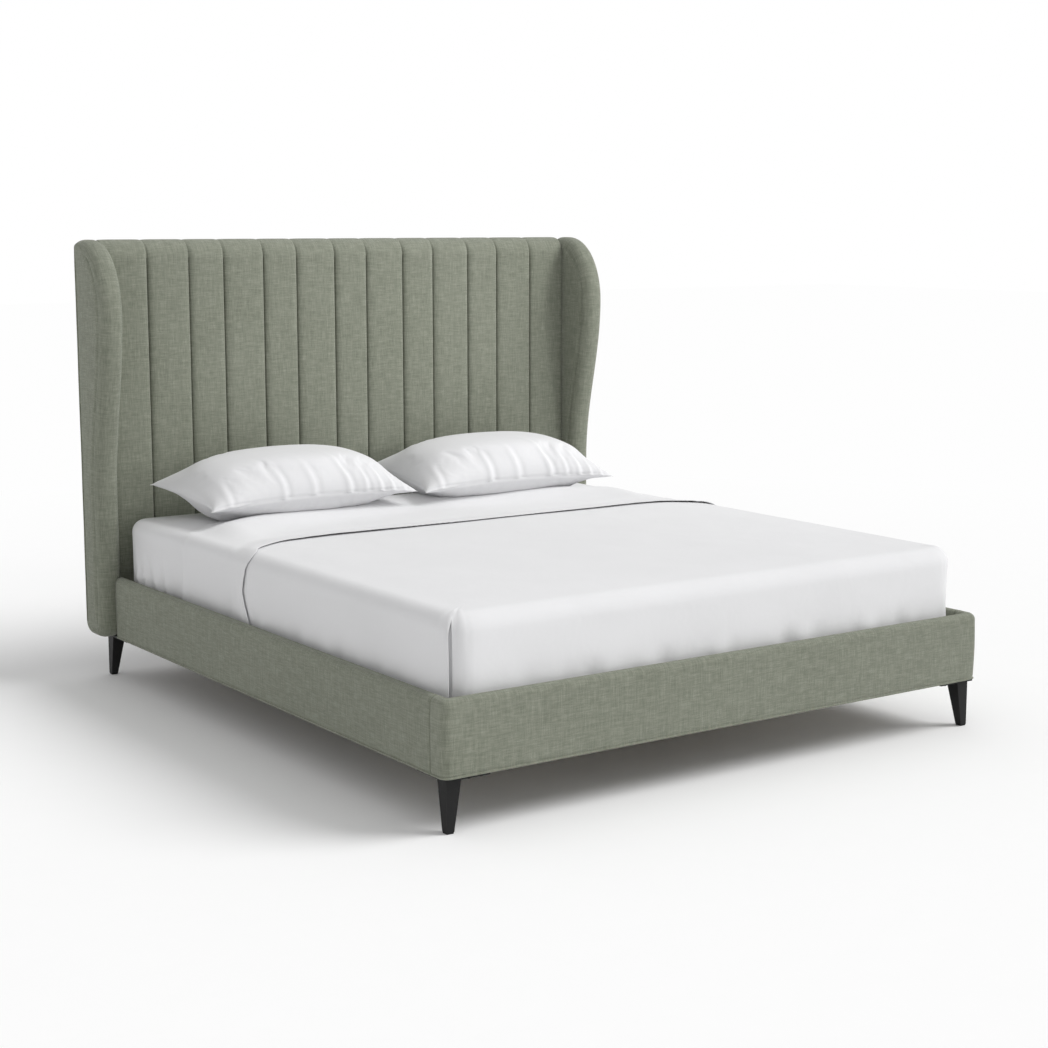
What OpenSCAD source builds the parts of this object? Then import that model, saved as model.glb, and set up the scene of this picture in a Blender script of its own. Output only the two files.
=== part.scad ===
// Upholstered bed with a channelled wing headboard, padded rails, sprung slats and made-up bedding.
// Millimetres, +Z up. The origin is on the floor, midway across and midway between the
// face of the foot rail and the back of the headboard. The headboard is at +Y.

/* [Mattress] */
// Width of the mattress
mattress_w = 1780; // [1580:10:1880]
// Length of the mattress
mattress_l = 1990; // [1890:10:2090]
// Height of the mattress
mattress_h = 240; // [180:5:300]
// Radius of the mattress corners seen from above
mattress_corner_r = 62; // [50:1:90]
// Radius of the mattress edges
mattress_edge_r = 38; // [25:1:45]
// How far the mattress sits below the top of the rails
mattress_sink = 53; // [40:1:80]
// Gap between the mattress and each side rail
side_gap = 24; // [20:1:40]
// Gap between the mattress and the foot rail
foot_gap = 22; // [20:1:40]
// Gap between the mattress and the headboard
head_gap = 40; // [25:1:60]

/* [Bedding] */
// Thickness of the fitted sheet and of the flat sheet
sheet_t = 2; // [1:0.5:3]
// Thickness of the quilted cover
cover_t = 8; // [4:1:10]
// Gap between one layer of bedding and the next
layer_gap = 0.3; // [0.2:0.1:0.5]
// How far the loose sides of the cover swing out at most
cover_swing = 5; // [0:1:6]
// Height of the hem of the cover above the slats
hem_lift = 14; // [8:1:30]
// Distance from the headboard padding to the head edge of the cover
cover_head_gap = 826; // [700:1:1000]
// How far the head edge of the cover drops back at each side
cover_corner_drop = 75; // [40:1:120]
// Distance from the headboard padding to the middle of the head edge of the flat sheet
sheet_head_gap = 128; // [90:1:200]
// How far the head edge of the flat sheet runs back at each side
sheet_corner_drop = 360; // [200:1:450]
// Width of a pillow, from tip to tip
pillow_w = 785; // [700:5:850]
// Depth of a pillow, from tip to tip
pillow_d = 430; // [400:10:500]
// Thickness of a pillow in the middle
pillow_t = 256; // [180:2:270]
// Height of the front seam of a pillow above the bed
pillow_rise = 62; // [30:1:80]
// Tilt of a pillow, raised towards the headboard
pillow_tilt = 6.5; // [0:0.5:15]
// Turn of the left and of the right pillow seen from above
pillow_turn = [3.5, -1]; // [-6:0.5:6]
// Gap between the tips of the two pillows
pillow_spacing = 39; // [30:1:60]
// Distance from the headboard padding to the back edges of the pillows
pillow_head_gap = 46; // [40:1:120]
// How far the sides of a pillow draw in between its tips
pillow_pinch = 0.04; // [0:0.01:0.12]
// Thickness of a pillow case
case_t = 3; // [2:0.5:4]

/* [Rails] */
// Thickness of the boards inside the rails
rail_board_t = 22; // [18:1:25]
// Thickness of the padding and fabric on each face of a rail
rail_pad = 7; // [5:1:10]
// Height of the rails
rail_h = 203; // [180:1:260]
// Radius of the outer top edge of the rails
rail_top_r = 15; // [4:1:16]
// Radius of the upright edges at the two front corners
rail_corner_r = 24; // [12:1:28]
// How far the foot rail cover wraps round each front corner
corner_wrap = 65; // [45:1:120]
// Fabric turned in under each rail board
turn_in = 2; // [1:0.5:3]

/* [Headboard] */
// Height of the headboard above the floor
head_h = 1450; // [1250:10:1500]
// Thickness of the channelled padding, crown included
panel_pad = 30; // [24:1:40]
// Crown of each channel
channel_crown = 11; // [4:1:14]
// Number of upright channels
channel_count = 13; // [9:2:17]
// Width of a narrow channel as a share of a wide one
narrow_share = 0.85; // [0.7:0.01:1]
// Width of the seam between two channels at its floor
seam_w = 2; // [1:0.5:3]
// Gap between the channelled padding and the top of the centre beam
panel_lift = 7; // [4:1:30]
// Thickness of the headboard board
head_board_t = 18; // [12:1:22]
// Thickness of the battens behind the board
batten_t = 17; // [15:1:25]
// Width of a batten
batten_w = 70; // [50:5:90]
// Thickness of the back cloth
back_cloth_t = 2; // [1:0.5:3]
// Padding over the top edge of the board
top_pad = 25; // [20:1:35]

/* [Wings] */
// How far the outer face of a wing stands outside the side rail
wing_out = 50; // [30:1:60]
// Thickness of a padded wing
wing_t = 80; // [70:1:90]
// Thickness of the core of a wing
wing_core_t = 30; // [18:1:36]
// Reach of a wing in front of the headboard padding at mattress level
wing_depth_low = 68; // [50:1:120]
// Reach of a wing in front of the headboard padding near the top
wing_depth_high = 153; // [140:1:200]
// Height where the waist of a wing begins to swing forward
waist_z = 620; // [600:5:700]
// Height where a wing reaches furthest forward
bulge_z = 1215; // [1000:5:1230]
// Reach of the rounded top front corner along Y
top_arc_y = 180; // [120:5:185]
// Radius of the bottom front corner of a wing
wing_foot_r = 45; // [40:1:60]
// Radius of the padded edges of a wing
wing_edge_r = 34; // [20:1:34]
// Padding in front of the core of a wing
wing_front_pad = 30; // [26:1:36]
// Height of the lowest screw that holds a wing
wing_screw_low = 330; // [250:10:500]
// Distance of the highest wing screw from the top of the headboard
wing_screw_top_gap = 160; // [120:10:300]
// Number of screws that hold each wing
wing_screw_count = 3; // [2:1:5]

/* [Base] */
// Thickness of a slat
slat_t = 12; // [10:1:15]
// Width of a slat
slat_w = 64; // [50:1:80]
// Number of slats on each side
slat_count = 13; // [10:1:15]
// Gap between a slat end and what lies beside it
slat_end_gap = 3; // [2:1:6]
// Width of the slat ledges and height of their section
ledge_s = 30; // [25:1:35]
// Width of the centre beam
beam_w = 60; // [50:1:70]
// Height of the centre beam
beam_h = 60; // [50:1:80]
// Thickness of the steel hangers and angle brackets
steel_t = 4; // [3:0.5:5]
// Side of a front corner block
block_s = 50; // [40:1:60]
// Width of a slat tape
tape_w = 20; // [15:1:30]
// Thickness of a slat tape
tape_t = 1.2; // [0.8:0.1:2]
// Distance of the middle of a slat tape from the slat ends
tape_inset = 230; // [120:10:300]

/* [Legs] */
// Height of a leg between its glide and its plate
leg_h = 135; // [110:1:180]
// Side of a leg at the top
leg_top_s = 44; // [36:1:50]
// Side of a leg at the bottom
leg_foot_s = 22; // [18:1:30]
// Distance from the outer faces of the rails to the outer faces of a leg
leg_inset = 18; // [14:1:24]
// Thickness of a leg plate
leg_plate_t = 6; // [4:0.5:8]
// Length of each arm of a leg plate from its outer corner
leg_plate_arm = 142; // [110:1:170]
// Width of the arms of a leg plate
leg_plate_w = 42; // [36:1:50]
// Height of a glide
glide_t = 4; // [3:0.5:6]
// Diameter of a centre leg
centre_leg_d = 32; // [28:1:40]
// Diameter of the screw stem of a centre foot
stem_d = 10; // [8:1:12]
// Diameter of the pad of a centre foot
pad_d = 40; // [34:1:50]
// Distance of the front centre leg from the foot rail
centre_leg_front = 620; // [500:10:800]
// Distance between the two centre legs
centre_leg_pitch = 780; // [600:10:900]

/* [Hidden] */

$fn = 48;
// Depth by which a cutter runs past the face that it cuts
over = 1;

fabric_color = "#8e9382";
timber_color = "#c8ac83";
ply_color = "#d3bd97";
steel_color = "#7d8186";
black_color = "#1d1d1e";
linen_color = "#ebebed";
cloth_color = "#3f423c";
foam_color = "#e9e2c8";

// Gap between padded pieces that are pressed together
seat_gap = 0.3;

// Plan of the frame
rail_t = rail_board_t + 2 * rail_pad;
inner_w = mattress_w + 2 * side_gap;
bed_w = inner_w + 2 * rail_t;
inner_l = foot_gap + mattress_l + head_gap;
bed_l = rail_t + inner_l + panel_pad + head_board_t + batten_t + back_cloth_t;
foot_y = -bed_l / 2;
foot_inner_y = foot_y + rail_t;
back_y = bed_l / 2;
panel_y = foot_inner_y + inner_l;
board_y = panel_y + panel_pad;
batten_y = board_y + head_board_t;
cloth_y = batten_y + batten_t;

// Heights
rail_z = glide_t + leg_h + leg_plate_t;
rail_top = rail_z + rail_h;
slat_top = rail_top - mattress_sink;
ledge_top = slat_top - slat_t;
beam_z = ledge_top - beam_h;
panel_bottom = ledge_top + panel_lift;
mattress_top = slat_top + mattress_h;

// Wings
wing_x_out = bed_w / 2 + wing_out;
wing_x_in = wing_x_out - wing_t;
wing_low_y = panel_y - wing_depth_low;
wing_high_y = panel_y - wing_depth_high;
core_x_in = wing_x_in + (wing_t - wing_core_t) / 2;
core_x_out = core_x_in + wing_core_t;
board_top = head_h - top_pad;

// A point of a curve with two guide points, for t from 0 to 1
function bezier(p, q, r, s, t) =
    pow(1 - t, 3) * p + 3 * pow(1 - t, 2) * t * q + 3 * (1 - t) * t * t * r + pow(t, 3) * s;

// Length of both guides of a wing's waist as a share of its rise
waist_pull = 0.36;

// Outline of a wing from the side as [y, z, softness]. Softness is 1 where the padded edge is
// fully rounded and small where the fabric is pulled tight round a hard edge.
waist_steps = 9;
top_arc_steps = 8;
foot_arc_steps = 4;
back_top_r = 22;
tight = 0.15;
half_soft = 0.5;
// Softness of the points round the top back corner
back_soft = [0.8, 0.5, 0.25];
wing_outline = concat(
    [for (i = [0 : foot_arc_steps]) let (a = 90 * i / foot_arc_steps)
        [wing_low_y + wing_foot_r * (1 - sin(a)), rail_z + wing_foot_r * (1 - cos(a)),
            min(1, half_soft + 2 * (1 - half_soft) * i / foot_arc_steps)]],
    [for (i = [0 : waist_steps]) let (p = bezier([wing_low_y, waist_z],
            [wing_low_y, waist_z + waist_pull * (bulge_z - waist_z)],
            [wing_high_y, bulge_z - waist_pull * (bulge_z - waist_z)],
            [wing_high_y, bulge_z], i / waist_steps))
        [p[0], p[1], 1]],
    [for (i = [1 : top_arc_steps]) let (a = 90 * i / top_arc_steps)
        [wing_high_y + top_arc_y * (1 - cos(a)), bulge_z + (head_h - bulge_z) * sin(a), 1]],
    [for (i = [0 : 2]) let (a = 90 - 45 * i)
        [back_y - back_top_r * (1 - cos(a)), head_h - back_top_r * (1 - sin(a)), back_soft[i]]],
    [[back_y, (head_h + rail_z) / 2, tight], [back_y, rail_z, tight]]);

// The outline drawn in by d times the softness of each point, along the normal there
function drawn_in(outline, d) =
    [for (i = [0 : len(outline) - 1]) let (
        n = len(outline),
        before = outline[(i + n - 1) % n],
        after = outline[(i + 1) % n],
        along = [after[0] - before[0], after[1] - before[1]],
        inward = [along[1], -along[0]] / norm(along))
        [outline[i][0] + inward[0] * d * outline[i][2], outline[i][1] + inward[1] * d * outline[i][2]]];

// Layers of bedding: each lies a named offset outside the mattress
fitted_in = layer_gap;
fitted_out = fitted_in + sheet_t;
flat_in = fitted_out + layer_gap;
flat_out = flat_in + sheet_t;
cover_in = flat_out + layer_gap;
cover_out = cover_in + cover_t;
mattress_y0 = foot_inner_y + foot_gap;
mattress_y1 = mattress_y0 + mattress_l;
mattress_mid_y = (mattress_y0 + mattress_y1) / 2;
// The top swells a little towards its middle
top_crown = 4;
crown_inset = 130;
least_corner_r = 20;
edge_steps = 4;
corner_steps = 5;
side_steps = 5;
end_steps = 4;

// One ring round the mattress at height z, with its plan a distance out outside the mattress
function plan_ring(out, z, swing = 0) = let (
    r = max(mattress_corner_r + out, least_corner_r),
    hx = mattress_w / 2 + out,
    hy = mattress_l / 2 + out,
    centres = [[hx - r, hy - r], [r - hx, hy - r], [r - hx, r - hy], [hx - r, r - hy]])
    [for (c = [0 : 3]) let (steps = (c % 2 == 0) ? end_steps : side_steps,
            from = centres[c] + r * [cos(90 * c + 90), sin(90 * c + 90)],
            next = (c + 1) % 4,
            to = centres[next] + r * [cos(90 * next), sin(90 * next)])
        each concat(
            [for (i = [0 : corner_steps]) let (a = 90 * c + 90 * i / corner_steps)
                [centres[c][0] + r * cos(a), mattress_mid_y + centres[c][1] + r * sin(a), z]],
            [for (i = [1 : steps - 1]) let (p = from + (to - from) * i / steps,
                    lift = swing * (1 - cos(360 * i * 2 / steps)) / 2,
                    away = [cos(90 * c + 90), sin(90 * c + 90)])
                [p[0] + away[0] * lift, mattress_mid_y + p[1] + away[1] * lift, z]])];

// Rings of a layer from its lower edge up over the rounded top edge to the crowned top
function layer_rings(o, z0, swing = 0) = concat(
    [plan_ring(o, z0, swing)],
    [plan_ring(o, (z0 + mattress_top - mattress_edge_r) / 2, swing / 2)],
    [for (i = [0 : edge_steps]) let (a = 90 * i / edge_steps)
        plan_ring((mattress_edge_r + o) * cos(a) - mattress_edge_r,
            mattress_top - mattress_edge_r + (mattress_edge_r + o) * sin(a))],
    [plan_ring(-mattress_edge_r - crown_inset, mattress_top + o + top_crown)]);

// Triangles between ring k and ring k + 1, over one ring from one of its own points, and over
// one ring from a hub point that stands in the middle of it
function band(k, n) = [for (i = [0 : n - 1]) let (j = (i + 1) % n)
    each [[k * n + i, (k + 1) * n + i, k * n + j], [k * n + j, (k + 1) * n + i, (k + 1) * n + j]]];
function fan(k, n, hub) = [for (i = [1 : n - 2])
    [k * n + hub, k * n + (hub + i) % n, k * n + (hub + i + 1) % n]];
function spokes(k, n, hub) = [for (i = [0 : n - 1]) [hub, k * n + i, k * n + (i + 1) % n]];
function hub_point(ring) = [0, mattress_mid_y, ring[0][2]];
function flipped(faces) = [for (f = faces) [f[2], f[1], f[0]]];

// A closed solid through a list of rings of n points
module ring_solid(rings) {
    n = len(rings[0]);
    last = len(rings) - 1;
    hub = len(rings) * n;
    polyhedron(concat([for (r = rings) each r], [hub_point(rings[0]), hub_point(rings[last])]),
        concat([for (k = [0 : last - 1]) each band(k, n)], spokes(0, n, hub),
            flipped(spokes(last, n, hub + 1))));
}

// An upturned tray: outer rings going up, inner rings coming down, joined at the hem
module tray_solid(outer, inner) {
    n = len(outer[0]);
    rings = concat(inner, outer);
    k_in = len(inner) - 1;
    k_out = len(outer) - 1;
    hub = len(rings) * n;
    polyhedron(concat([for (r = rings) each r], [hub_point(inner[k_in]), hub_point(outer[k_out])]),
        concat([for (k = [0 : k_in - 1]) each flipped(band(k, n))],
            spokes(k_in, n, hub),
            [for (k = [k_in + 1 : k_in + k_out]) each band(k, n)],
            flipped(spokes(k_in + k_out + 1, n, hub + 1)),
            [for (i = [0 : n - 1]) let (j = (i + 1) % n, b = (k_in + 1) * n)
                each [[i, b + i, j], [j, b + i, b + j]]]));
}

// Pillows
pillow_u = 14;
pillow_v = 9;
rest_z = mattress_top + flat_out + top_crown + layer_gap;
pillow_belly = 0.85;
// Powers that shape the edge of a pillow above and below its seam
pillow_sharp = 0.49;
belly_sharp = 0.72;
// Powers that fill a pillow out towards its ends and towards its front and back
pillow_full_u = 2.4;
pillow_full_v = 2.2;
// Open end of a pillow case: its share of the pillow's depth, how far in it runs, and its gap
mouth_share = 0.6;
mouth_run = 60;
mouth_gap = 4;
pillow_x = (pillow_w + pillow_spacing) / 2;
pillow_y = panel_y - pillow_head_gap - pillow_d / 2 * cos(pillow_tilt);
pillow_mid_z = rest_z + pillow_rise + pillow_d / 2 * sin(pillow_tilt);

// A point of a pillow: u across and v from front to back run from -1 to 1, side is 1 on top
function pillow_point(u, v, side, inset) = let (
    hw = pillow_w / 2 - inset,
    hd = pillow_d / 2 - inset,
    x = hw * u * (1 - pillow_pinch * (1 - v * v) * u * u),
    y = hd * v * (1 - 2 * pillow_pinch * (1 - u * u) * v * v),
    full = pow(max(0, (1 - pow(abs(u), pillow_full_u)) * (1 - pow(abs(v), pillow_full_v))),
        side > 0 ? pillow_sharp : belly_sharp),
    t = (pillow_t / 2 - inset) * full * (side > 0 ? 1 : -pillow_belly))
    [x, y * cos(pillow_tilt) - t * sin(pillow_tilt),
        max(pillow_mid_z + y * sin(pillow_tilt) + t * cos(pillow_tilt), rest_z + inset)];
function spread(i, n) = sin(90 * (2 * i / n - 1));
pillow_row = pillow_u + 1;
pillow_layer = pillow_row * (pillow_v + 1);
function pillow_points(inset) = [for (side = [1, -1]) for (j = [0 : pillow_v]) for (i = [0 : pillow_u])
    pillow_point(spread(i, pillow_u), spread(j, pillow_v), side, inset)];
// Quads are cut so that no triangle lies on the rim alone at a corner
function pillow_quad(a, b, c, d, cross) = cross ? [[a, b, d], [b, c, d]] : [[a, b, c], [a, c, d]];
// The lower layer uses the rim points of the upper one, so both meet in one seam
function pillow_index(i, j, low) =
    (i == 0 || j == 0 || i == pillow_u || j == pillow_v || !low ? 0 : pillow_layer) + j * pillow_row + i;
pillow_faces = [for (j = [0 : pillow_v - 1]) for (i = [0 : pillow_u - 1])
    let (cross = (2 * i < pillow_u) != (2 * j < pillow_v)) each concat(
        pillow_quad(pillow_index(i, j, false), pillow_index(i, j + 1, false),
            pillow_index(i + 1, j + 1, false), pillow_index(i + 1, j, false), cross),
        pillow_quad(pillow_index(i, j, true), pillow_index(i + 1, j, true),
            pillow_index(i + 1, j + 1, true), pillow_index(i, j + 1, true), cross))];

module pillow_form(inset) {
    polyhedron(pillow_points(inset), pillow_faces);
}

module pillow_place(side) {
    translate([side * pillow_x, pillow_y, 0]) rotate([0, 0, pillow_turn[side < 0 ? 0 : 1]]) children();
}

// Turns a thing that points along +Z to point along a row axis
module point_along(dir) {
    rotate(dir[0] != 0 ? [0, 90 * dir[0], 0] : dir[1] != 0 ? [-90 * dir[1], 0, 0] : [0, 0, 0])
        children();
}

// Screws: [head seat, direction, length], with a plain shank and a low round head behind the seat
screw_r = 3;
screw_head_r = 6;
screw_head_t = 2.5;
bolt_r = 4;
bolt_head_r = 8;
bolt_head_t = 4;
module shanks(list, r) {
    for (s = list) translate(s[0]) point_along(s[1]) cylinder(h = s[2], r = r);
}
module screws(list, r, head_r, head_t) {
    for (s = list) translate(s[0]) point_along(s[1]) {
        cylinder(h = s[2], r = r);
        translate([0, 0, -head_t]) cylinder(h = head_t, r = head_r);
    }
}

// Wing screws lie flush in the outer face of the core and reach into the edge of the board
wing_screw_len = 70;
wing_screw_pitch = (head_h - wing_screw_top_gap - wing_screw_low) / (wing_screw_count - 1);
wing_screw_list = [for (s = [-1, 1]) for (i = [0 : wing_screw_count - 1])
    [[s * core_x_out, board_y + head_board_t / 2, wing_screw_low + i * wing_screw_pitch], [-s, 0, 0],
        wing_screw_len]];

// How deep the screws and bolts of the frame bite into the rail boards
screw_bite = 15;

// Slat ledges and their screws
ledge_y0 = foot_inner_y + block_s + slat_end_gap;
ledge_y1 = wing_low_y - slat_end_gap;
ledge_screw_count = 7;
ledge_screw_margin = 70;
ledge_screw_len = ledge_s + rail_pad + screw_bite;
ledge_screw_list = [for (s = [-1, 1]) for (i = [0 : ledge_screw_count - 1])
    [[s * (inner_w / 2 - ledge_s), ledge_y0 + ledge_screw_margin
        + (ledge_y1 - ledge_y0 - 2 * ledge_screw_margin) * i / (ledge_screw_count - 1),
        ledge_top - ledge_s / 2], [s, 0, 0], ledge_screw_len]];

// Blocks in the front corners
block_lift = 10;
block_drop = 3;
block_z0 = rail_z + block_lift;
block_z1 = ledge_top - block_drop;
corner_screw_len = block_s + rail_pad + screw_bite;
// Distance of the corner screws from the bottom and from the top of a block
corner_screw_in = [25, 30];
corner_screw_z = [block_z0 + corner_screw_in[0], block_z1 - corner_screw_in[1]];
// Distance of each screw from the rail that it runs along, and the step between crossing screws
block_screw_in = 19;
block_screw_step = 12;
corner_screw_list = [for (s = [-1, 1]) for (k = [0, 1]) each [
    [[s * (inner_w / 2 - block_s), foot_inner_y + block_screw_in, corner_screw_z[k]], [s, 0, 0],
        corner_screw_len],
    [[s * (inner_w / 2 - block_screw_in), foot_inner_y + block_s, corner_screw_z[k] + block_screw_step],
        [0, -1, 0], corner_screw_len]]];

// Angle brackets between the side rails and the headboard board
bracket_lift = 20;
bracket_drop = 6;
bracket_z0 = rail_z + bracket_lift;
bracket_z1 = ledge_top - ledge_s - bracket_drop;
bracket_reach = 120;
bracket_wide = 60;
// Distances of the bolts from the bracket's upper and lower edges, from its front and from its side
bracket_bolt_in = 17;
bracket_bolt_front = 30;
bracket_bolt_side = 20;
bracket_bolt_z = [bracket_z0 + bracket_bolt_in, bracket_z1 - bracket_bolt_in];
bracket_bolt_len = steel_t + rail_pad + screw_bite;
// Wood left behind the bolts that run into the headboard board
board_skin = 4;
bracket_back_len = steel_t + head_board_t - board_skin;
bracket_bolt_list = [for (s = [-1, 1]) for (z = bracket_bolt_z) each [
    [[s * (inner_w / 2 - steel_t), wing_low_y - bracket_bolt_front, z], [s, 0, 0], bracket_bolt_len],
    [[s * (inner_w / 2 - bracket_wide + bracket_bolt_side), board_y - steel_t, z], [0, 1, 0],
        bracket_back_len]]];

// Hangers that carry the centre beam
hanger_side = 70;
hanger_lip = 25;
hanger_screw_len = steel_t + rail_pad + screw_bite;
hanger_x = beam_w / 2 + steel_t + hanger_lip / 2;
hanger_screw_list = [for (s = [-1, 1]) each [
    [[s * hanger_x, foot_inner_y + steel_t, ledge_top - beam_h / 2], [0, -1, 0], hanger_screw_len],
    [[s * hanger_x, board_y - steel_t, ledge_top - beam_h / 2], [0, 1, 0], head_board_t]]];

// Slats
slat_zone_gap = 12;
slat_zone_y0 = ledge_y0 + slat_zone_gap;
slat_zone_y1 = ledge_y1 - slat_zone_gap;
slat_pitch = (slat_zone_y1 - slat_zone_y0 - slat_w) / (slat_count - 1);
slat_x0 = slat_end_gap;
slat_x1 = inner_w / 2 - slat_end_gap;
tape_x = [slat_x0 + tape_inset, slat_x1 - tape_inset];

// Legs: the outer faces are upright and the inner faces run in towards the foot
plate_inset = 8;
leg_corner_x = bed_w / 2 - leg_inset;
leg_corner_front = foot_y + leg_inset;
leg_corner_rear = back_y - leg_inset;
leg_z = glide_t;
plate_z = rail_z - leg_plate_t;
leg_screw_bite = 30;
leg_screw_len = leg_plate_t + leg_screw_bite;
foot_screw_y = foot_y + rail_pad + rail_board_t / 2;
side_screw_x = bed_w / 2 - rail_pad - rail_board_t / 2;
board_screw_y = board_y + head_board_t / 2;
// Distance of the screws from the end of an arm, and from the end of a rear plate's long arm
arm_screw_in = [24, 60];
rear_screw_in = [24, 50];
plate_screw_out = [for (in = arm_screw_in) leg_plate_arm - in];
// The long arm of a rear leg plate starts near the back of the headboard and runs under the side rail
rear_arm_y = back_y - plate_inset;
rear_plate_past = 62;
rear_plate_arm = rear_arm_y - wing_low_y + rear_plate_past;
leg_screw_list = [for (s = [-1, 1]) each [
    [[s * (bed_w / 2 - plate_screw_out[0]), foot_screw_y, plate_z], [0, 0, 1], leg_screw_len],
    [[s * (bed_w / 2 - plate_screw_out[1]), foot_screw_y, plate_z], [0, 0, 1], leg_screw_len],
    [[s * side_screw_x, foot_y + plate_screw_out[0], plate_z], [0, 0, 1], leg_screw_len],
    [[s * side_screw_x, rear_arm_y - rear_plate_arm + rear_screw_in[0], plate_z], [0, 0, 1],
        leg_screw_len],
    [[s * side_screw_x, rear_arm_y - rear_plate_arm + rear_screw_in[1], plate_z], [0, 0, 1],
        leg_screw_len],
    [[s * (bed_w / 2 - plate_screw_out[0]), board_screw_y, plate_z], [0, 0, 1], leg_screw_len],
    [[s * (bed_w / 2 - plate_screw_out[1]), board_screw_y, plate_z], [0, 0, 1], leg_screw_len]]];

// Centre legs with a plug that guides the stem of each foot
tube_wall = 2;
plug_h = 45;
pad_t = 8;
stem_run = 0.05;
stem_h = 70;
leg_top_plate = 4;
leg_top_plate_s = 56;
// Gap between the pad of a centre foot and its leg
foot_gap_z = 12;
leg_tube_z = pad_t + foot_gap_z;
centre_leg_y = [foot_inner_y + centre_leg_front, foot_inner_y + centre_leg_front + centre_leg_pitch];

// Widths of the channels, wide at both ends and then wide and narrow in turn
function is_narrow(i) = i > 1 && i < channel_count - 2 && i % 2 == 0;
narrow_count = (channel_count - 3) / 2;
wide_w = 2 * wing_x_in / (channel_count - narrow_count + narrow_count * narrow_share);
function channel_w(i) = is_narrow(i) ? wide_w * narrow_share : wide_w;
function seam_x(i) = i == 0 ? -wing_x_in : seam_x(i - 1) + channel_w(i - 1);
// Half of a channel's face from seam to middle, as [share of the width, share of the crown]
channel_shape = [[0.04, 0.42], [0.1, 0.68], [0.2, 0.88], [0.34, 0.98], [0.5, 1]];
channel_face = [for (i = [0 : channel_count - 1]) let (
    x0 = seam_x(i) + (i == 0 ? 0 : seam_w / 2),
    w = channel_w(i) - (i == 0 || i == channel_count - 1 ? seam_w / 2 : seam_w))
    each concat([[x0, 0]],
        [for (p = channel_shape) [x0 + p[0] * w, p[1] * channel_crown]],
        [for (k = [len(channel_shape) - 2 : -1 : 0])
            [x0 + w - channel_shape[k][0] * w, channel_shape[k][1] * channel_crown]],
        [[x0 + w, 0]])];

// Headboard
module headboard_board() {
    color(ply_color)
        difference() {
            translate([-core_x_in, board_y, rail_z])
                cube([2 * core_x_in, head_board_t, board_top - rail_z]);
            shanks(wing_screw_list, screw_r);
            shanks(bracket_bolt_list, bolt_r);
            shanks(hanger_screw_list, screw_r);
            shanks(leg_screw_list, screw_r);
        }
}

module headboard_battens() {
    tall = board_top - rail_z;
    bar_w = 2 * (core_x_in - batten_w);
    color(timber_color) {
        for (s = [-1, 1])
            translate([s * (core_x_in - batten_w / 2) - batten_w / 2, batten_y, rail_z])
                cube([batten_w, batten_t, tall]);
        for (k = [0 : 2])
            translate([-bar_w / 2, batten_y, rail_z + k * (tall - batten_w) / 2])
                cube([bar_w, batten_t, batten_w]);
    }
}

module headboard_cover() {
    depth = panel_pad - channel_crown;
    roll_r = cloth_y - panel_y;
    color(fabric_color)
        difference() {
            union() {
                translate([0, board_y - depth, panel_bottom])
                    linear_extrude(head_h - roll_r - panel_bottom)
                        mirror([0, 1]) polygon(concat(channel_face,
                            [[wing_x_in, -depth], [-wing_x_in, -depth]]));
                translate([0, cloth_y, head_h - roll_r])
                    rotate([0, 90, 0]) rotate([0, 0, 180])
                        rotate_extrude(angle = 90)
                            rotate(-90) polygon(concat(
                                [for (p = channel_face) [p[0], roll_r - channel_crown + p[1]]],
                                [[wing_x_in, 0], [-wing_x_in, 0]]));
            }
            translate([-wing_x_in - over, board_y, panel_bottom - over])
                cube([2 * (wing_x_in + over), bed_l, board_top - panel_bottom + over]);
        }
}

module headboard_back_cloth() {
    color(cloth_color)
        translate([-core_x_in, cloth_y, rail_z])
            cube([2 * core_x_in, back_cloth_t, board_top - rail_z]);
}

// Wings, drawn on the right and mirrored for the left
module wing_plate(x0, t, inset) {
    translate([x0, 0, 0]) rotate([90, 0, 90])
        linear_extrude(t) polygon(drawn_in(wing_outline, inset));
}

edge_rings = 4;
module wing_padding() {
    flat = wing_t / 2 - wing_edge_r;
    mid = (wing_x_in + wing_x_out) / 2;
    rings = concat(
        [for (i = [0 : edge_rings]) let (a = 90 * (1 - i / edge_rings))
            [for (p = drawn_in(wing_outline, wing_edge_r * (1 - cos(a))))
                [mid - flat - wing_edge_r * sin(a), p[0], p[1]]]],
        [for (i = [0 : edge_rings]) let (a = 90 * i / edge_rings)
            [for (p = drawn_in(wing_outline, wing_edge_r * (1 - cos(a))))
                [mid + flat + wing_edge_r * sin(a), p[0], p[1]]]]);
    n = len(wing_outline);
    last = len(rings) - 1;
    // The hub of each cap is the point halfway up the back edge, which sees the whole outline
    polyhedron([for (r = rings) each r], flipped(concat([for (k = [0 : last - 1]) each band(k, n)],
        fan(0, n, n - 2), flipped(fan(last, n, n - 2)))));
}

module on_side(side) {
    if (side < 0) mirror([1, 0, 0]) children();
    else children();
}

module wing_core(side) {
    color(ply_color)
        difference() {
            on_side(side) wing_plate(core_x_in, wing_core_t, wing_front_pad);
            shanks(wing_screw_list, screw_r);
        }
}

module wing_cover(side) {
    color(fabric_color)
        on_side(side) difference() {
            wing_padding();
            wing_plate(core_x_in, wing_core_t, wing_front_pad);
            translate([wing_x_in - over, board_y, rail_z - over])
                cube([core_x_in - wing_x_in + over, bed_l, board_top - rail_z + over]);
        }
}

module wing_screws() {
    color(steel_color) shanks(wing_screw_list, screw_r);
}

// The section of a padded rail, without the space for its board
module rail_cover_blank() {
    translate([0, rail_z]) square([rail_t, rail_h - rail_top_r]);
    translate([rail_top_r, rail_z]) square([rail_t - 2 * rail_top_r, rail_h]);
    for (x = [rail_top_r, rail_t - rail_top_r])
        translate([x, rail_top - rail_top_r]) circle(r = rail_top_r);
}

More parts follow.
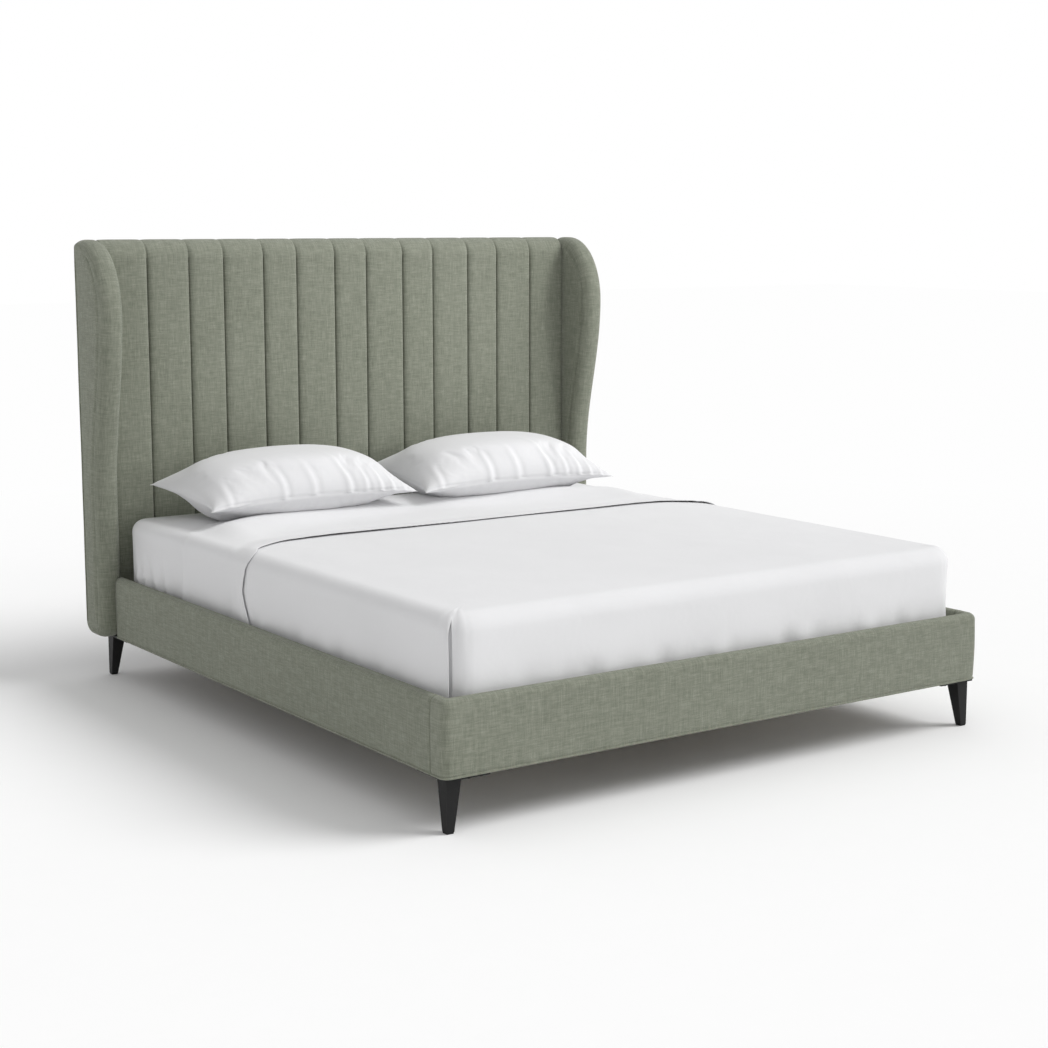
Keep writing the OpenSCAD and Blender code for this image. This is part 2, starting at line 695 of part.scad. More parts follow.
// The section of a side rail cover is an upside-down U round the board, with its hems turned in
hem_lip = 8;
module rail_cover_section() {
    difference() {
        rail_cover_blank();
        translate([rail_pad, rail_z + turn_in])
            square([rail_board_t, rail_h - turn_in - rail_pad]);
        translate([rail_pad + hem_lip, rail_z - over])
            square([rail_board_t - 2 * hem_lip, turn_in + 2 * over]);
    }
}

side_board_y0 = foot_y + rail_pad + rail_board_t;
side_board_y1 = wing_low_y - seat_gap - turn_in;
cover_y0 = foot_y + corner_wrap;
cover_y1 = wing_low_y - seat_gap;
module side_rail(side) {
    color(timber_color)
        difference() {
            on_side(side) translate([bed_w / 2 - rail_pad - rail_board_t, side_board_y0, rail_z + turn_in])
                cube([rail_board_t, side_board_y1 - side_board_y0, rail_h - turn_in - rail_pad]);
            shanks(ledge_screw_list, screw_r);
            shanks(corner_screw_list, screw_r);
            shanks(bracket_bolt_list, bolt_r);
            shanks(leg_screw_list, screw_r);
        }
}

module side_rail_cover(side) {
    color(fabric_color)
        difference() {
            on_side(side) translate([bed_w / 2, cover_y1, 0]) rotate([90, 0, 0])
                linear_extrude(cover_y1 - cover_y0) mirror([1, 0]) rail_cover_section();
            shanks(ledge_screw_list, screw_r);
            shanks(bracket_bolt_list, bolt_r);
            shanks(leg_screw_list, screw_r);
        }
}

// Plan of the foot board, with its front corners cut off under the rounded corners of the cover
foot_board_cut = rail_pad + 3;
module foot_board_plan() {
    half = bed_w / 2 - rail_pad;
    cut = foot_board_cut;
    translate([0, foot_y + rail_pad])
        polygon([[cut - half, 0], [half - cut, 0], [half, cut], [half, rail_board_t],
            [-half, rail_board_t], [-half, cut]]);
}

module foot_rail() {
    color(timber_color)
        difference() {
            translate([0, 0, rail_z + turn_in])
                linear_extrude(rail_h - turn_in - rail_pad) foot_board_plan();
            shanks(corner_screw_list, screw_r);
            shanks(hanger_screw_list, screw_r);
            shanks(leg_screw_list, screw_r);
        }
}

// The foot rail cover runs round both front corners and ends at a seam on each side rail
module foot_rail_cover() {
    reach = corner_wrap - rail_corner_r;
    color(fabric_color)
        difference() {
            union() {
                translate([-bed_w / 2 + rail_corner_r, foot_y, 0]) rotate([90, 0, 90])
                    linear_extrude(bed_w - 2 * rail_corner_r) rail_cover_blank();
                for (s = [-1, 1]) on_side(s) {
                    translate([bed_w / 2, foot_y + corner_wrap, 0]) rotate([90, 0, 0])
                        linear_extrude(reach) mirror([1, 0]) rail_cover_blank();
                    translate([bed_w / 2 - rail_corner_r, foot_y + rail_corner_r, 0])
                        rotate([0, 0, -90]) rotate_extrude(angle = 90)
                            intersection() {
                                translate([rail_corner_r, 0]) mirror([1, 0]) rail_cover_blank();
                                translate([0, rail_z]) square([rail_corner_r, rail_h]);
                            }
                }
            }
            translate([0, 0, rail_z - over])
                linear_extrude(rail_h - rail_pad + over) foot_board_plan();
            for (s = [-1, 1]) on_side(s)
                translate([bed_w / 2 - rail_pad - rail_board_t, side_board_y0 - over, rail_z - over])
                    cube([rail_board_t, corner_wrap, rail_h - rail_pad + over]);
            shanks(corner_screw_list, screw_r);
            shanks(hanger_screw_list, screw_r);
        }
}

// Joints of the frame
module corner_block(side) {
    color(timber_color)
        difference() {
            on_side(side) translate([inner_w / 2 - block_s, foot_inner_y, block_z0])
                cube([block_s, block_s, block_z1 - block_z0]);
            shanks(corner_screw_list, screw_r);
        }
}

module corner_screws() {
    color(steel_color) screws(corner_screw_list, screw_r, screw_head_r, screw_head_t);
}

module headboard_bracket(side) {
    tall = bracket_z1 - bracket_z0;
    front = wing_low_y - bracket_reach / 2;
    color(steel_color)
        difference() {
            on_side(side) {
                translate([inner_w / 2 - steel_t, front, bracket_z0])
                    cube([steel_t, board_y - front, tall]);
                translate([inner_w / 2 - bracket_wide, board_y - steel_t, bracket_z0])
                    cube([bracket_wide, steel_t, tall]);
            }
            shanks(bracket_bolt_list, bolt_r);
        }
}

module bracket_bolts() {
    color(steel_color) screws(bracket_bolt_list, bolt_r, bolt_head_r, bolt_head_t);
}

module slat_ledge(side) {
    color(timber_color)
        difference() {
            on_side(side) translate([inner_w / 2 - ledge_s, ledge_y0, ledge_top - ledge_s])
                cube([ledge_s, ledge_y1 - ledge_y0, ledge_s]);
            shanks(ledge_screw_list, screw_r);
        }
}

module ledge_screws() {
    color(steel_color) screws(ledge_screw_list, screw_r, screw_head_r, screw_head_t);
}

// Centre beam and what carries it
module centre_beam() {
    color(timber_color)
        translate([-beam_w / 2, foot_inner_y + steel_t, beam_z])
            cube([beam_w, board_y - foot_inner_y - 2 * steel_t, beam_h]);
}

// A hanger is a back plate, a floor and two cheeks; the beam drops in from above
module hanger_shape() {
    wide = beam_w + 2 * steel_t;
    translate([-wide / 2 - hanger_lip, 0, beam_z - steel_t])
        cube([wide + 2 * hanger_lip, steel_t, beam_h + steel_t]);
    translate([-wide / 2, 0, beam_z - steel_t]) cube([wide, hanger_side, steel_t]);
    for (s = [-1, 1])
        translate([s * (wide - steel_t) / 2 - steel_t / 2, 0, beam_z - steel_t])
            cube([steel_t, hanger_side, beam_h + steel_t]);
}

module beam_hanger_front() {
    color(steel_color)
        difference() {
            translate([0, foot_inner_y, 0]) hanger_shape();
            shanks(hanger_screw_list, screw_r);
        }
}

module beam_hanger_rear() {
    color(steel_color)
        difference() {
            translate([0, board_y, 0]) mirror([0, 1, 0]) hanger_shape();
            shanks(hanger_screw_list, screw_r);
        }
}

module hanger_screws() {
    color(steel_color) screws(hanger_screw_list, screw_r, screw_head_r, screw_head_t);
}

// Sprung slats, one set each side of the beam, stapled to two tapes
module slats(side) {
    color(ply_color)
        on_side(side) for (i = [0 : slat_count - 1])
            translate([slat_x0, slat_zone_y0 + i * slat_pitch, ledge_top])
                cube([slat_x1 - slat_x0, slat_w, slat_t]);
}

module slat_tapes(side) {
    color(cloth_color)
        on_side(side) for (x = tape_x)
            translate([x - tape_w / 2, slat_zone_y0, ledge_top - tape_t])
                cube([tape_w, slat_zone_y1 - slat_zone_y0, tape_t]);
}

// Legs. A leg is the part that two wedge-shaped extrusions share.
module leg_wedge() {
    lean = leg_top_s - leg_foot_s;
    linear_extrude(leg_top_s)
        polygon([[0, 0], [leg_foot_s, 0], [leg_foot_s + lean, leg_h], [0, leg_h]]);
}

// A leg with its outer corner at the origin, reaching towards +X and +Y
module leg_form() {
    intersection() {
        translate([0, leg_top_s, 0]) rotate([90, 0, 0]) leg_wedge();
        mirror([1, -1, 0]) translate([0, leg_top_s, 0]) rotate([90, 0, 0]) leg_wedge();
    }
}

module leg(x_side, rear) {
    color(black_color)
        translate([x_side * leg_corner_x, rear ? leg_corner_rear : leg_corner_front, leg_z])
            mirror([x_side > 0 ? 1 : 0, 0, 0]) mirror([0, rear ? 1 : 0, 0]) leg_form();
}

// An L-shaped plate with cut ends, its outer corner at the origin, arms along +X and +Y
plate_cut = 14;
module plate_outline(arm_x, arm_y) {
    cut = plate_cut;
    polygon([[0, 0], [arm_x, 0], [arm_x, leg_plate_w - cut], [arm_x - cut, leg_plate_w],
        [leg_plate_w, leg_plate_w], [leg_plate_w, arm_y - cut], [leg_plate_w - cut, arm_y], [0, arm_y]]);
}

module leg_plate(x_side, rear) {
    arm_y = rear ? rear_plate_arm : leg_plate_arm - plate_inset;
    color(black_color)
        difference() {
            translate([x_side * (bed_w / 2 - plate_inset), rear ? rear_arm_y : foot_y + plate_inset, plate_z])
                mirror([x_side > 0 ? 1 : 0, 0, 0]) mirror([0, rear ? 1 : 0, 0])
                    linear_extrude(leg_plate_t) plate_outline(leg_plate_arm - plate_inset, arm_y);
            shanks(leg_screw_list, screw_r);
        }
}

glide_in = 1;
module leg_glides() {
    glide_s = leg_foot_s - 2 * glide_in;
    color(black_color)
        for (s = [-1, 1]) for (y = [leg_corner_front + glide_in, leg_corner_rear - glide_in - glide_s])
            translate([s * (leg_corner_x - glide_in - glide_s / 2) - glide_s / 2, y, 0])
                cube([glide_s, glide_s, glide_t]);
}

module leg_screws() {
    color(black_color) screws(leg_screw_list, screw_r, screw_head_r, screw_head_t);
}

// Centre legs
module centre_leg(k) {
    top = beam_z - leg_top_plate;
    color(black_color)
        translate([0, centre_leg_y[k], 0]) {
            difference() {
                translate([0, 0, leg_tube_z]) cylinder(h = top - leg_tube_z, d = centre_leg_d);
                translate([0, 0, leg_tube_z - over])
                    cylinder(h = top - leg_tube_z + over, d = centre_leg_d - 2 * tube_wall);
            }
            translate([-leg_top_plate_s / 2, -leg_top_plate_s / 2, top])
                cube([leg_top_plate_s, leg_top_plate_s, leg_top_plate]);
        }
}

module centre_leg_plug(k) {
    color(steel_color)
        translate([0, centre_leg_y[k], leg_tube_z])
            difference() {
                cylinder(h = plug_h, d = centre_leg_d - 2 * tube_wall);
                translate([0, 0, -over]) cylinder(h = plug_h + 2 * over, d = stem_d + 2 * stem_run);
            }
}

module centre_foot(k) {
    color(black_color)
        translate([0, centre_leg_y[k], 0]) {
            cylinder(h = pad_t, d = pad_d);
            translate([0, 0, pad_t]) cylinder(h = stem_h, d = stem_d);
        }
}

// Mattress and bedding
module mattress() {
    color(foam_color) ring_solid(concat(
        [for (i = [0 : 1]) plan_ring((i - 1) * mattress_edge_r / 2,
            slat_top + i * mattress_edge_r / 2)],
        layer_rings(0, slat_top + mattress_edge_r)));
}

module fitted_sheet() {
    hem = slat_top + mattress_edge_r;
    color(linen_color) tray_solid(layer_rings(fitted_out, hem), layer_rings(fitted_in, hem));
}

// Powers of the curves in which the head edges of the cover and of the flat sheet run back
cover_edge_power = 7;
sheet_edge_power = 2.4;

// Everything behind a head edge at distance gap from the padding, which runs back at the sides
module head_cutter(gap, drop, sharp) {
    half = mattress_w / 2;
    steps = 12;
    edge = [for (i = [-steps : steps]) let (x = half * i / steps)
        [x, panel_y - gap - drop * pow(abs(i) / steps, sharp)]];
    translate([0, 0, slat_top - over])
        linear_extrude(mattress_h + 2 * cover_out + 2 * over)
            polygon(concat(
                [[-bed_w / 2, edge[0][1]]], edge, [[bed_w / 2, edge[2 * steps][1]]],
                [[bed_w / 2, back_y], [-bed_w / 2, back_y]]));
}

module flat_sheet() {
    hem = slat_top + hem_lift;
    color(linen_color) difference() {
        tray_solid(layer_rings(flat_out, hem), layer_rings(flat_in, hem));
        head_cutter(sheet_head_gap, sheet_corner_drop, sheet_edge_power);
    }
}

module bed_cover() {
    hem = slat_top + hem_lift;
    color(linen_color) difference() {
        tray_solid(layer_rings(cover_out, hem, cover_swing), layer_rings(cover_in, hem));
        head_cutter(cover_head_gap, cover_corner_drop, cover_edge_power);
    }
}

// A pillow case is open at its outer end, where the filling goes in
module pillow_case(side) {
    color(linen_color) pillow_place(side) difference() {
        pillow_form(0);
        pillow_form(case_t);
        translate([side * pillow_w / 2, 0, pillow_mid_z]) rotate([pillow_tilt, 0, 0])
            cube([2 * mouth_run, mouth_share * pillow_d, mouth_gap], center = true);
    }
}

module pillow_filling(side) {
    color(foam_color) pillow_place(side) pillow_form(case_t + layer_gap);
}

headboard_board();
headboard_battens();
headboard_cover();
headboard_back_cloth();
wing_core(-1);  // wing_core_left
wing_core(1);  // wing_core_right
wing_cover(-1);  // wing_cover_left
wing_cover(1);  // wing_cover_right
wing_screws();
side_rail(-1);  // side_rail_left
side_rail(1);  // side_rail_right
side_rail_cover(-1);  // side_rail_cover_left
side_rail_cover(1);  // side_rail_cover_right
foot_rail();
foot_rail_cover();
corner_block(-1);  // corner_block_left
corner_block(1);  // corner_block_right
corner_screws();
headboard_bracket(-1);  // headboard_bracket_left
headboard_bracket(1);  // headboard_bracket_right
bracket_bolts();
slat_ledge(-1);  // slat_ledge_left
slat_ledge(1);  // slat_ledge_right
ledge_screws();
centre_beam();
beam_hanger_front();
beam_hanger_rear();
hanger_screws();
slats(-1);  // slats_left
slats(1);  // slats_right
slat_tapes(-1);  // slat_tapes_left
slat_tapes(1);  // slat_tapes_right
leg(-1, false);  // leg_front_left
leg(1, false);  // leg_front_right
leg(-1, true);  // leg_rear_left
leg(1, true);  // leg_rear_right
leg_plate(-1, false);  // leg_plate_front_left
leg_plate(1, false);  // leg_plate_front_right
leg_plate(-1, true);  // leg_plate_rear_left
leg_plate(1, true);  // leg_plate_rear_right
leg_glides();
leg_screws();
centre_leg(0);  // centre_leg_front
centre_leg(1);  // centre_leg_rear
centre_leg_plug(0);  // centre_leg_plug_front
centre_leg_plug(1);  // centre_leg_plug_rear
centre_foot(0);  // centre_foot_front
centre_foot(1);  // centre_foot_rear
mattress();
fitted_sheet();
flat_sheet();
bed_cover();
pillow_case(-1);  // pillow_case_left
pillow_case(1);  // pillow_case_right
pillow_filling(-1);  // pillow_filling_left
pillow_filling(1);  // pillow_filling_right
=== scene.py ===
import math

import bmesh
import bpy
from bpy.props import FloatProperty, FloatVectorProperty, IntProperty, PointerProperty
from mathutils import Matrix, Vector, noise
from mathutils.kdtree import KDTree


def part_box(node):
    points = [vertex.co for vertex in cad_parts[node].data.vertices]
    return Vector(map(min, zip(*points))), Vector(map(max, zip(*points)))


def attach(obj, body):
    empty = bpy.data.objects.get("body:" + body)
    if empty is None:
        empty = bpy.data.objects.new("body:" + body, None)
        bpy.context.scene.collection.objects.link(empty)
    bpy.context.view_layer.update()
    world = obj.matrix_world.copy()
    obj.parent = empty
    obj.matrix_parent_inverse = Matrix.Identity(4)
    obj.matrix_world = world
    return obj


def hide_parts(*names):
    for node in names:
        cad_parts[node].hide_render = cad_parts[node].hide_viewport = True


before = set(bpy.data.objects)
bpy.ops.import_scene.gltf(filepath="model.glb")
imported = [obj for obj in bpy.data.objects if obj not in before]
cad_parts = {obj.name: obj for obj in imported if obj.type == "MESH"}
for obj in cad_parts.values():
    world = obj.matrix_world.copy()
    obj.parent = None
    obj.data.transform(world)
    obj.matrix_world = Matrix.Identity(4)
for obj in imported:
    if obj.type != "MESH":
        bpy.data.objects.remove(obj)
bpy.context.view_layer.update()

bl_info = {
    "name": "Upholstered Bed Looks",
    "version": (1, 0, 0),
    "blender": (4, 5, 0),
    "location": "View3D > Sidebar > Bed",
    "description": "Builds the padding, bedding, finishes and stage of an upholstered bed",
    "category": "Object",
}

CLOTH_MAP = "cloth"
MATERIAL_PREFIX = "bed_"
FRAME_BODY = "bed_frame"
MATTRESS_BODY = "mattress"
LEFT = -1
RIGHT = 1
SIDE_NAMES = {LEFT: "left", RIGHT: "right"}

# Sizes of the CAD model that its boxes don't give, in metres
CHANNEL_COUNT = 13
NARROW_SHARE = 0.85
CHANNEL_CROWN = 0.011
SEAM_W = 0.002
WING_FOOT_R = 0.045
WING_WAIST_Z = 0.620
WING_BULGE_Z = 1.215
WING_REACH_LOW = 0.068
WING_TOP_ARC = 0.180
WING_BACK_R = 0.022
WING_EDGE_R = 0.034
RAIL_TOP_R = 0.015
RAIL_CORNER_R = 0.024
CORNER_WRAP = 0.065
TAPE_W = 0.020
MATTRESS_CORNER_R = 0.062
MATTRESS_EDGE_R = 0.038
MATTRESS_CROWN = 0.004
MATTRESS_H = 0.240
PILLOW_W = 0.785
PILLOW_D = 0.430
PILLOW_T = 0.256

# Sizes of the padding's own detail, in metres
SEAM_OPEN = 0.0007
SEAM_DEEP = 0.0045
WING_HEEL_R = 0.045
WING_CORE_IN = 0.030
RAIL_SOFT_R = 0.020

# How far each layer of bedding lies outside the mattress, and how thick the cloths are, in metres
FITTED_OUT = 0.0023
FLAT_OUT = 0.0046
COVER_IN = 0.0049
COVER_OUT = 0.0129
COTTON_T = 0.0013

# Edges across the bed: y in the middle, how far it drops at the sides, and the power of its curve
COVER_EDGE_Y = 0.1845
COVER_EDGE_DROP = 0.120
COVER_EDGE_POWER = 9
COVER_UNDER_BAND = 0.03
SHEET_EDGE_Y = 0.8825
SHEET_EDGE_DROP = 0.360
SHEET_EDGE_POWER = 2.4

# The flat sheet's loose roll by the pillows, in metres
ROLL_H = 0.026
ROLL_BACK = 0.160

# How the pillows lie, in metres and radians
PILLOW_RISE = {LEFT: 0.061, RIGHT: 0.056}
PILLOW_TURN = {LEFT: math.radians(3.5), RIGHT: math.radians(-1.0)}
PILLOW_TILT = math.radians(6.5)
PILLOW_SPACING = 0.039
PILLOW_HEAD_GAP = 0.046
PILLOW_ARCH = 0.014
PILLOW_EAR = 0.025
PILLOW_PINCH = 0.04


def low(node):
    """Lowest corner of a CAD node."""
    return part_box(node)[0]


def high(node):
    """Highest corner of a CAD node."""
    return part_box(node)[1]


WING_IN_X = low("wing_cover_right").x
WING_OUT_X = high("wing_cover_right").x
WING_HIGH_Y = low("wing_cover_right").y
PANEL_Y = low("headboard_cover").y
CLOTH_Y = high("headboard_cover").y
PANEL_BOTTOM = low("headboard_cover").z
HEAD_TOP = high("headboard_cover").z
BOARD_Y = low("headboard_board").y
BOARD_TOP = high("headboard_board").z
BACK_Y = high("headboard_back_cloth").y
RAIL_Z = low("side_rail_cover_right").z
RAIL_TOP = high("side_rail_cover_right").z
RAIL_IN_X = low("side_rail_cover_right").x
RAIL_OUT_X = high("side_rail_cover_right").x
RAIL_T = RAIL_OUT_X - RAIL_IN_X
FOOT_Y = low("foot_rail_cover").y
MATTRESS_LOW = low("mattress")
MATTRESS_HIGH = high("mattress")
MATTRESS_MID_Y = (MATTRESS_LOW.y + MATTRESS_HIGH.y) / 2
MATTRESS_HALF_W = (MATTRESS_HIGH.x - MATTRESS_LOW.x) / 2
MATTRESS_HALF_L = (MATTRESS_HIGH.y - MATTRESS_LOW.y) / 2
SLAT_TOP = MATTRESS_LOW.z
MATTRESS_TOP = SLAT_TOP + MATTRESS_H


# Settings


def colour_setting(name, description, default):
    """A property that holds a colour."""
    return FloatVectorProperty(name=name, description=description, subtype="COLOR", size=3, min=0, max=1,
                               default=default)


class BedFabric(bpy.types.PropertyGroup):
    """Colours and weave of the upholstery fabric"""

    light_thread: colour_setting("Light thread", "Colour of the lighter threads", (0.368, 0.386, 0.311))
    dark_thread: colour_setting("Dark thread", "Colour of the darker threads", (0.165, 0.178, 0.135))
    pitch: FloatProperty(
        name="Thread pitch", description="Distance from one thread to the next",
        unit="LENGTH", min=0.0005, max=0.01, default=0.0021)
    relief: FloatProperty(
        name="Thread relief", description="Height of the threads in the bump",
        unit="LENGTH", min=0, max=0.005, default=0.0006)


class BedLinen(bpy.types.PropertyGroup):
    """Colours of the bed linen and how full the pillows are"""

    cotton: colour_setting("Cotton", "Colour of the sheets", (0.775, 0.775, 0.785))
    # The pillow cases' white is darker than the sheets' to make up for the stronger light on the pillows:
    # painted shade.
    shaded_pillow_cotton: colour_setting("Pillow cotton", "Colour of the pillow cases", (0.72, 0.72, 0.73))
    quilt: colour_setting("Cover", "Colour of the bed cover", (0.78, 0.78, 0.79))
    pillow_pressure: FloatProperty(
        name="Pillow pressure", description="Pressure inside the pillows in the cloth simulation",
        min=0, max=20, default=4)
    pillow_voxel: FloatProperty(
        name="Pillow mesh size", description="Size of the voxels that the pillows are meshed with",
        unit="LENGTH", min=0.004, max=0.02, default=0.006)
    wave: FloatProperty(
        name="Cover wave", description="Height of the soft waves in the bed cover",
        unit="LENGTH", min=0, max=0.01, default=0.0022)


class BedFrameFinish(bpy.types.PropertyGroup):
    """Colours of the timber, the metal and the legs, and detail of the channels"""

    leg_black: colour_setting("Leg black", "Colour of the painted legs", (0.0042, 0.0042, 0.0045))
    timber: colour_setting("Timber", "Colour of the sawn softwood", (0.27, 0.21, 0.145))
    plywood: colour_setting("Plywood", "Colour of the plywood faces", (0.31, 0.25, 0.18))
    channel_rows: IntProperty(
        name="Channel rows", description="Number of mesh rows up a channel",
        min=8, max=120, default=48)


class BedStage(bpy.types.PropertyGroup):
    """Light and floor of the studio"""

    key_strength: FloatProperty(
        name="Key light", description="Strength of the wide, even light from the front right",
        min=0, max=10, default=1.95)
    key_softness: FloatProperty(
        name="Key softness", description="Width of the key light as an angle",
        subtype="ANGLE", min=0, max=math.pi, default=math.radians(32))
    side_power: FloatProperty(
        name="Side light", description="Power of the near light at the right, in watts",
        min=0, max=2000, default=2.2)
    room_light: FloatProperty(
        name="Room light", description="Strength of the even light from all sides",
        min=0, max=2, default=0.60)
    floor: colour_setting("Floor", "Colour of the floor", (0.95, 0.95, 0.95))


# Node materials

# How far the fabric's threads wander, in metres, and fixed colours of the finishes
THREAD_DRIFT = 0.0016
WORN_FABRIC = (0.42, 0.43, 0.37, 1)
LINING_DARK = (0.012, 0.012, 0.012, 1)
LINING_LIGHT = (0.05, 0.05, 0.048, 1)
TAPE_DARK = (0.035, 0.035, 0.033, 1)
TAPE_LIGHT = (0.075, 0.075, 0.07, 1)
ZINC_DARK = (0.36, 0.37, 0.39, 1)
ZINC_LIGHT = (0.55, 0.56, 0.58, 1)
RUBBED_PAINT = (0.03, 0.03, 0.03, 1)
TICKING_DARK = (0.60, 0.59, 0.55, 1)
TICKING_LIGHT = (0.74, 0.73, 0.69, 1)
PURE_WHITE = (1, 1, 1, 1)


class Recipe:
    """A node material under construction, with short calls for its nodes and links."""

    def __init__(self, name):
        self.material = bpy.data.materials.new(MATERIAL_PREFIX + name)
        self.material.use_nodes = True
        self.tree = self.material.node_tree
        self.shader = self.tree.nodes["Principled BSDF"]

    def set(self, **values):
        self.fill(self.shader, **values)

    def node(self, kind, **settings):
        made = self.tree.nodes.new("ShaderNode" + kind)
        for key, value in settings.items():
            setattr(made, key, value)
        return made

    def link(self, source, target):
        self.tree.links.new(source, target)

    def feed(self, socket, value):
        if isinstance(value, bpy.types.NodeSocket):
            self.link(value, socket)
        else:
            socket.default_value = value

    def fill(self, made, **values):
        """Sets or links the inputs of a node by their names."""
        for key, value in values.items():
            self.feed(made.inputs[key.replace("_", " ")], value)
        return made

    def math(self, operation, a, b=0.0, c=0.0):
        made = self.node("Math", operation=operation)
        for socket, value in zip(made.inputs, (a, b, c)):
            self.feed(socket, value)
        return made.outputs[0]

    def scaled(self, vector, scale):
        made = self.node("VectorMath", operation="MULTIPLY")
        self.link(vector, made.inputs[0])
        made.inputs[1].default_value = scale
        return made.outputs[0]

    def noise(self, vector, scale, detail=2.0, roughness=0.5, distortion=0.0):
        made = self.fill(self.node("TexNoise"), Vector=vector, Scale=scale, Detail=detail,
                         Roughness=roughness, Distortion=distortion)
        return made.outputs["Fac"]

    def cells(self, vector, scale, randomness=1.0):
        made = self.fill(self.node("TexVoronoi"), Vector=vector, Scale=scale, Randomness=randomness)
        return made.outputs["Distance"]

    def parts(self, vector):
        made = self.fill(self.node("SeparateXYZ"), Vector=vector)
        return made.outputs["X"], made.outputs["Y"]

    def span(self, value, from_low, from_high, to_low=0.0, to_high=1.0):
        made = self.fill(self.node("MapRange"), Value=value, From_Min=from_low, From_Max=from_high,
                         To_Min=to_low, To_Max=to_high)
        return made.outputs["Result"]

    def mix(self, factor, a, b, kind="RGBA"):
        made = self.fill(self.node("Mix", data_type=kind), Factor=factor, A=a, B=b)
        return made.outputs["Result"]

    def bump(self, height, distance, strength, below=None):
        made = self.fill(self.node("Bump"), Strength=strength, Distance=distance, Height=height)
        if below is not None:
            self.link(below, made.inputs["Normal"])
        return made.outputs["Normal"]

    def object_place(self):
        return self.node("TexCoord").outputs["Object"]

    def cloth_place(self):
        return self.node("UVMap", uv_map=CLOTH_MAP).outputs["UV"]

    def done(self, colour, normal, roughness):
        self.fill(self.shader, Base_Color=colour, Normal=normal, Roughness=roughness)
        return self.material


def rgba(colour, factor=1.0):
    """A colour with alpha 1, made lighter or darker by a factor."""
    return (colour[0] * factor, colour[1] * factor, colour[2] * factor, 1.0)


def upholstery_material(settings):
    """A heathered plain weave of slubbed threads, with painted shade in the hollows between threads, laid
    out in metres on the cloth map.
    """
    r = Recipe("upholstery")
    r.set(Roughness=0.92, Sheen_Weight=0.18, Sheen_Roughness=0.45, Specular_IOR_Level=0.25)
    place = r.cloth_place()
    x, y = r.parts(place)
    drift = r.math("MULTIPLY", r.noise(place, 55.0, detail=1.0), THREAD_DRIFT)
    turn = math.pi / settings.pitch
    along = r.math("SINE", r.math("MULTIPLY", r.math("ADD", x, drift), turn))
    across = r.math("SINE", r.math("MULTIPLY", r.math("SUBTRACT", y, drift), turn))
    warp = r.math("ABSOLUTE", along)
    weft = r.math("ABSOLUTE", across)
    over = r.math("GREATER_THAN", r.math("MULTIPLY", along, across), 0.0)
    warp_top = r.math("MULTIPLY", warp, r.math("MULTIPLY_ADD", weft, 0.4, 0.6))
    weft_top = r.math("MULTIPLY", weft, r.math("MULTIPLY_ADD", warp, 0.4, 0.6))
    height = r.mix(over, weft_top, warp_top, kind="FLOAT")
    up_slub = r.noise(r.scaled(place, (330.0, 26.0, 1.0)), 1.0, detail=3.0, roughness=0.6)
    cross_slub = r.noise(r.scaled(place, (26.0, 330.0, 1.0)), 1.0, detail=3.0, roughness=0.6)
    slub = r.mix(over, cross_slub, up_slub, kind="FLOAT")
    broad_up = r.noise(r.scaled(place, (110.0, 9.0, 1.0)), 1.0, detail=2.0)
    broad_cross = r.noise(r.scaled(place, (9.0, 110.0, 1.0)), 1.0, detail=2.0)
    broad = r.math("ADD", broad_up, broad_cross)
    heather = r.math("ADD", r.span(slub, 0.32, 0.68, -0.08, 0.68), r.span(broad, 0.75, 1.25, -0.09, 0.13))
    # The colour darkens where the top thread sinks between crossings: painted shade in the weave's hollows,
    # added to the heathered tone.
    heather_and_hollow_shade = r.math("ADD", heather, r.span(height, 0.0, 1.0, -0.22, 0.1))
    colour = r.mix(heather_and_hollow_shade, rgba(settings.dark_thread), rgba(settings.light_thread))
    worn = r.noise(place, 3.0, detail=3.0)
    tone = r.mix(r.span(worn, 0.3, 0.7, 0.0, 0.08), colour, WORN_FABRIC)
    relief = r.math("ADD", height, r.math("MULTIPLY", slub, 0.7))
    dents = r.bump(r.noise(place, 18.0, detail=2.0), 0.0016, 0.5)
    normal = r.bump(relief, settings.relief, 0.75, below=dents)
    return r.done(tone, normal, r.span(slub, 0.3, 0.7, 0.98, 0.84))


def linen_material(name, base, crease=0.0011, weave=1500.0):
    """A smooth cotton cloth with a fine weave, faint creases and a slight change of tone."""
    r = Recipe(name)
    r.set(Roughness=0.85, Sheen_Weight=0.12, Sheen_Roughness=0.4, Specular_IOR_Level=0.2)
    place = r.object_place()
    tone = r.noise(place, 5.0, detail=4.0)
    colour = r.mix(r.span(tone, 0.3, 0.7), rgba(base, 0.985), rgba(base, 1.01))
    thread = r.noise(place, weave, detail=1.0)
    tinted = r.mix(r.span(thread, 0.3, 0.7, 0.0, 0.35), colour, rgba(base, 0.93))
    soft = r.bump(r.noise(place, 7.0, detail=5.0, roughness=0.42, distortion=0.6), crease * 6, 0.35)
    fine = r.bump(r.noise(place, 42.0, detail=3.0, roughness=0.5), crease, 0.25, below=soft)
    normal = r.bump(thread, 0.0002, 0.35, below=fine)
    return r.done(tinted, normal, r.span(r.noise(place, 60.0), 0.3, 0.7, 0.8, 0.92))


def dark_cloth_material():
    """Black spun-bonded lining with its pattern of pressed dots."""
    r = Recipe("dark_cloth")
    r.set(Roughness=0.9, Sheen_Weight=0.3, Specular_IOR_Level=0.2)
    place = r.object_place()
    pressed = r.span(r.cells(place, 420.0, 0.35), 0.12, 0.3)
    fibres = r.noise(place, 240.0, detail=5.0, roughness=0.7)
    colour = r.mix(r.math("MULTIPLY", pressed, fibres), LINING_DARK, LINING_LIGHT)
    sag = r.bump(r.noise(place, 5.0, detail=2.0), 0.004, 0.4)
    normal = r.bump(r.math("ADD", pressed, fibres), 0.0003, 0.6, below=sag)
    return r.done(colour, normal, r.span(fibres, 0.3, 0.7, 0.8, 0.95))


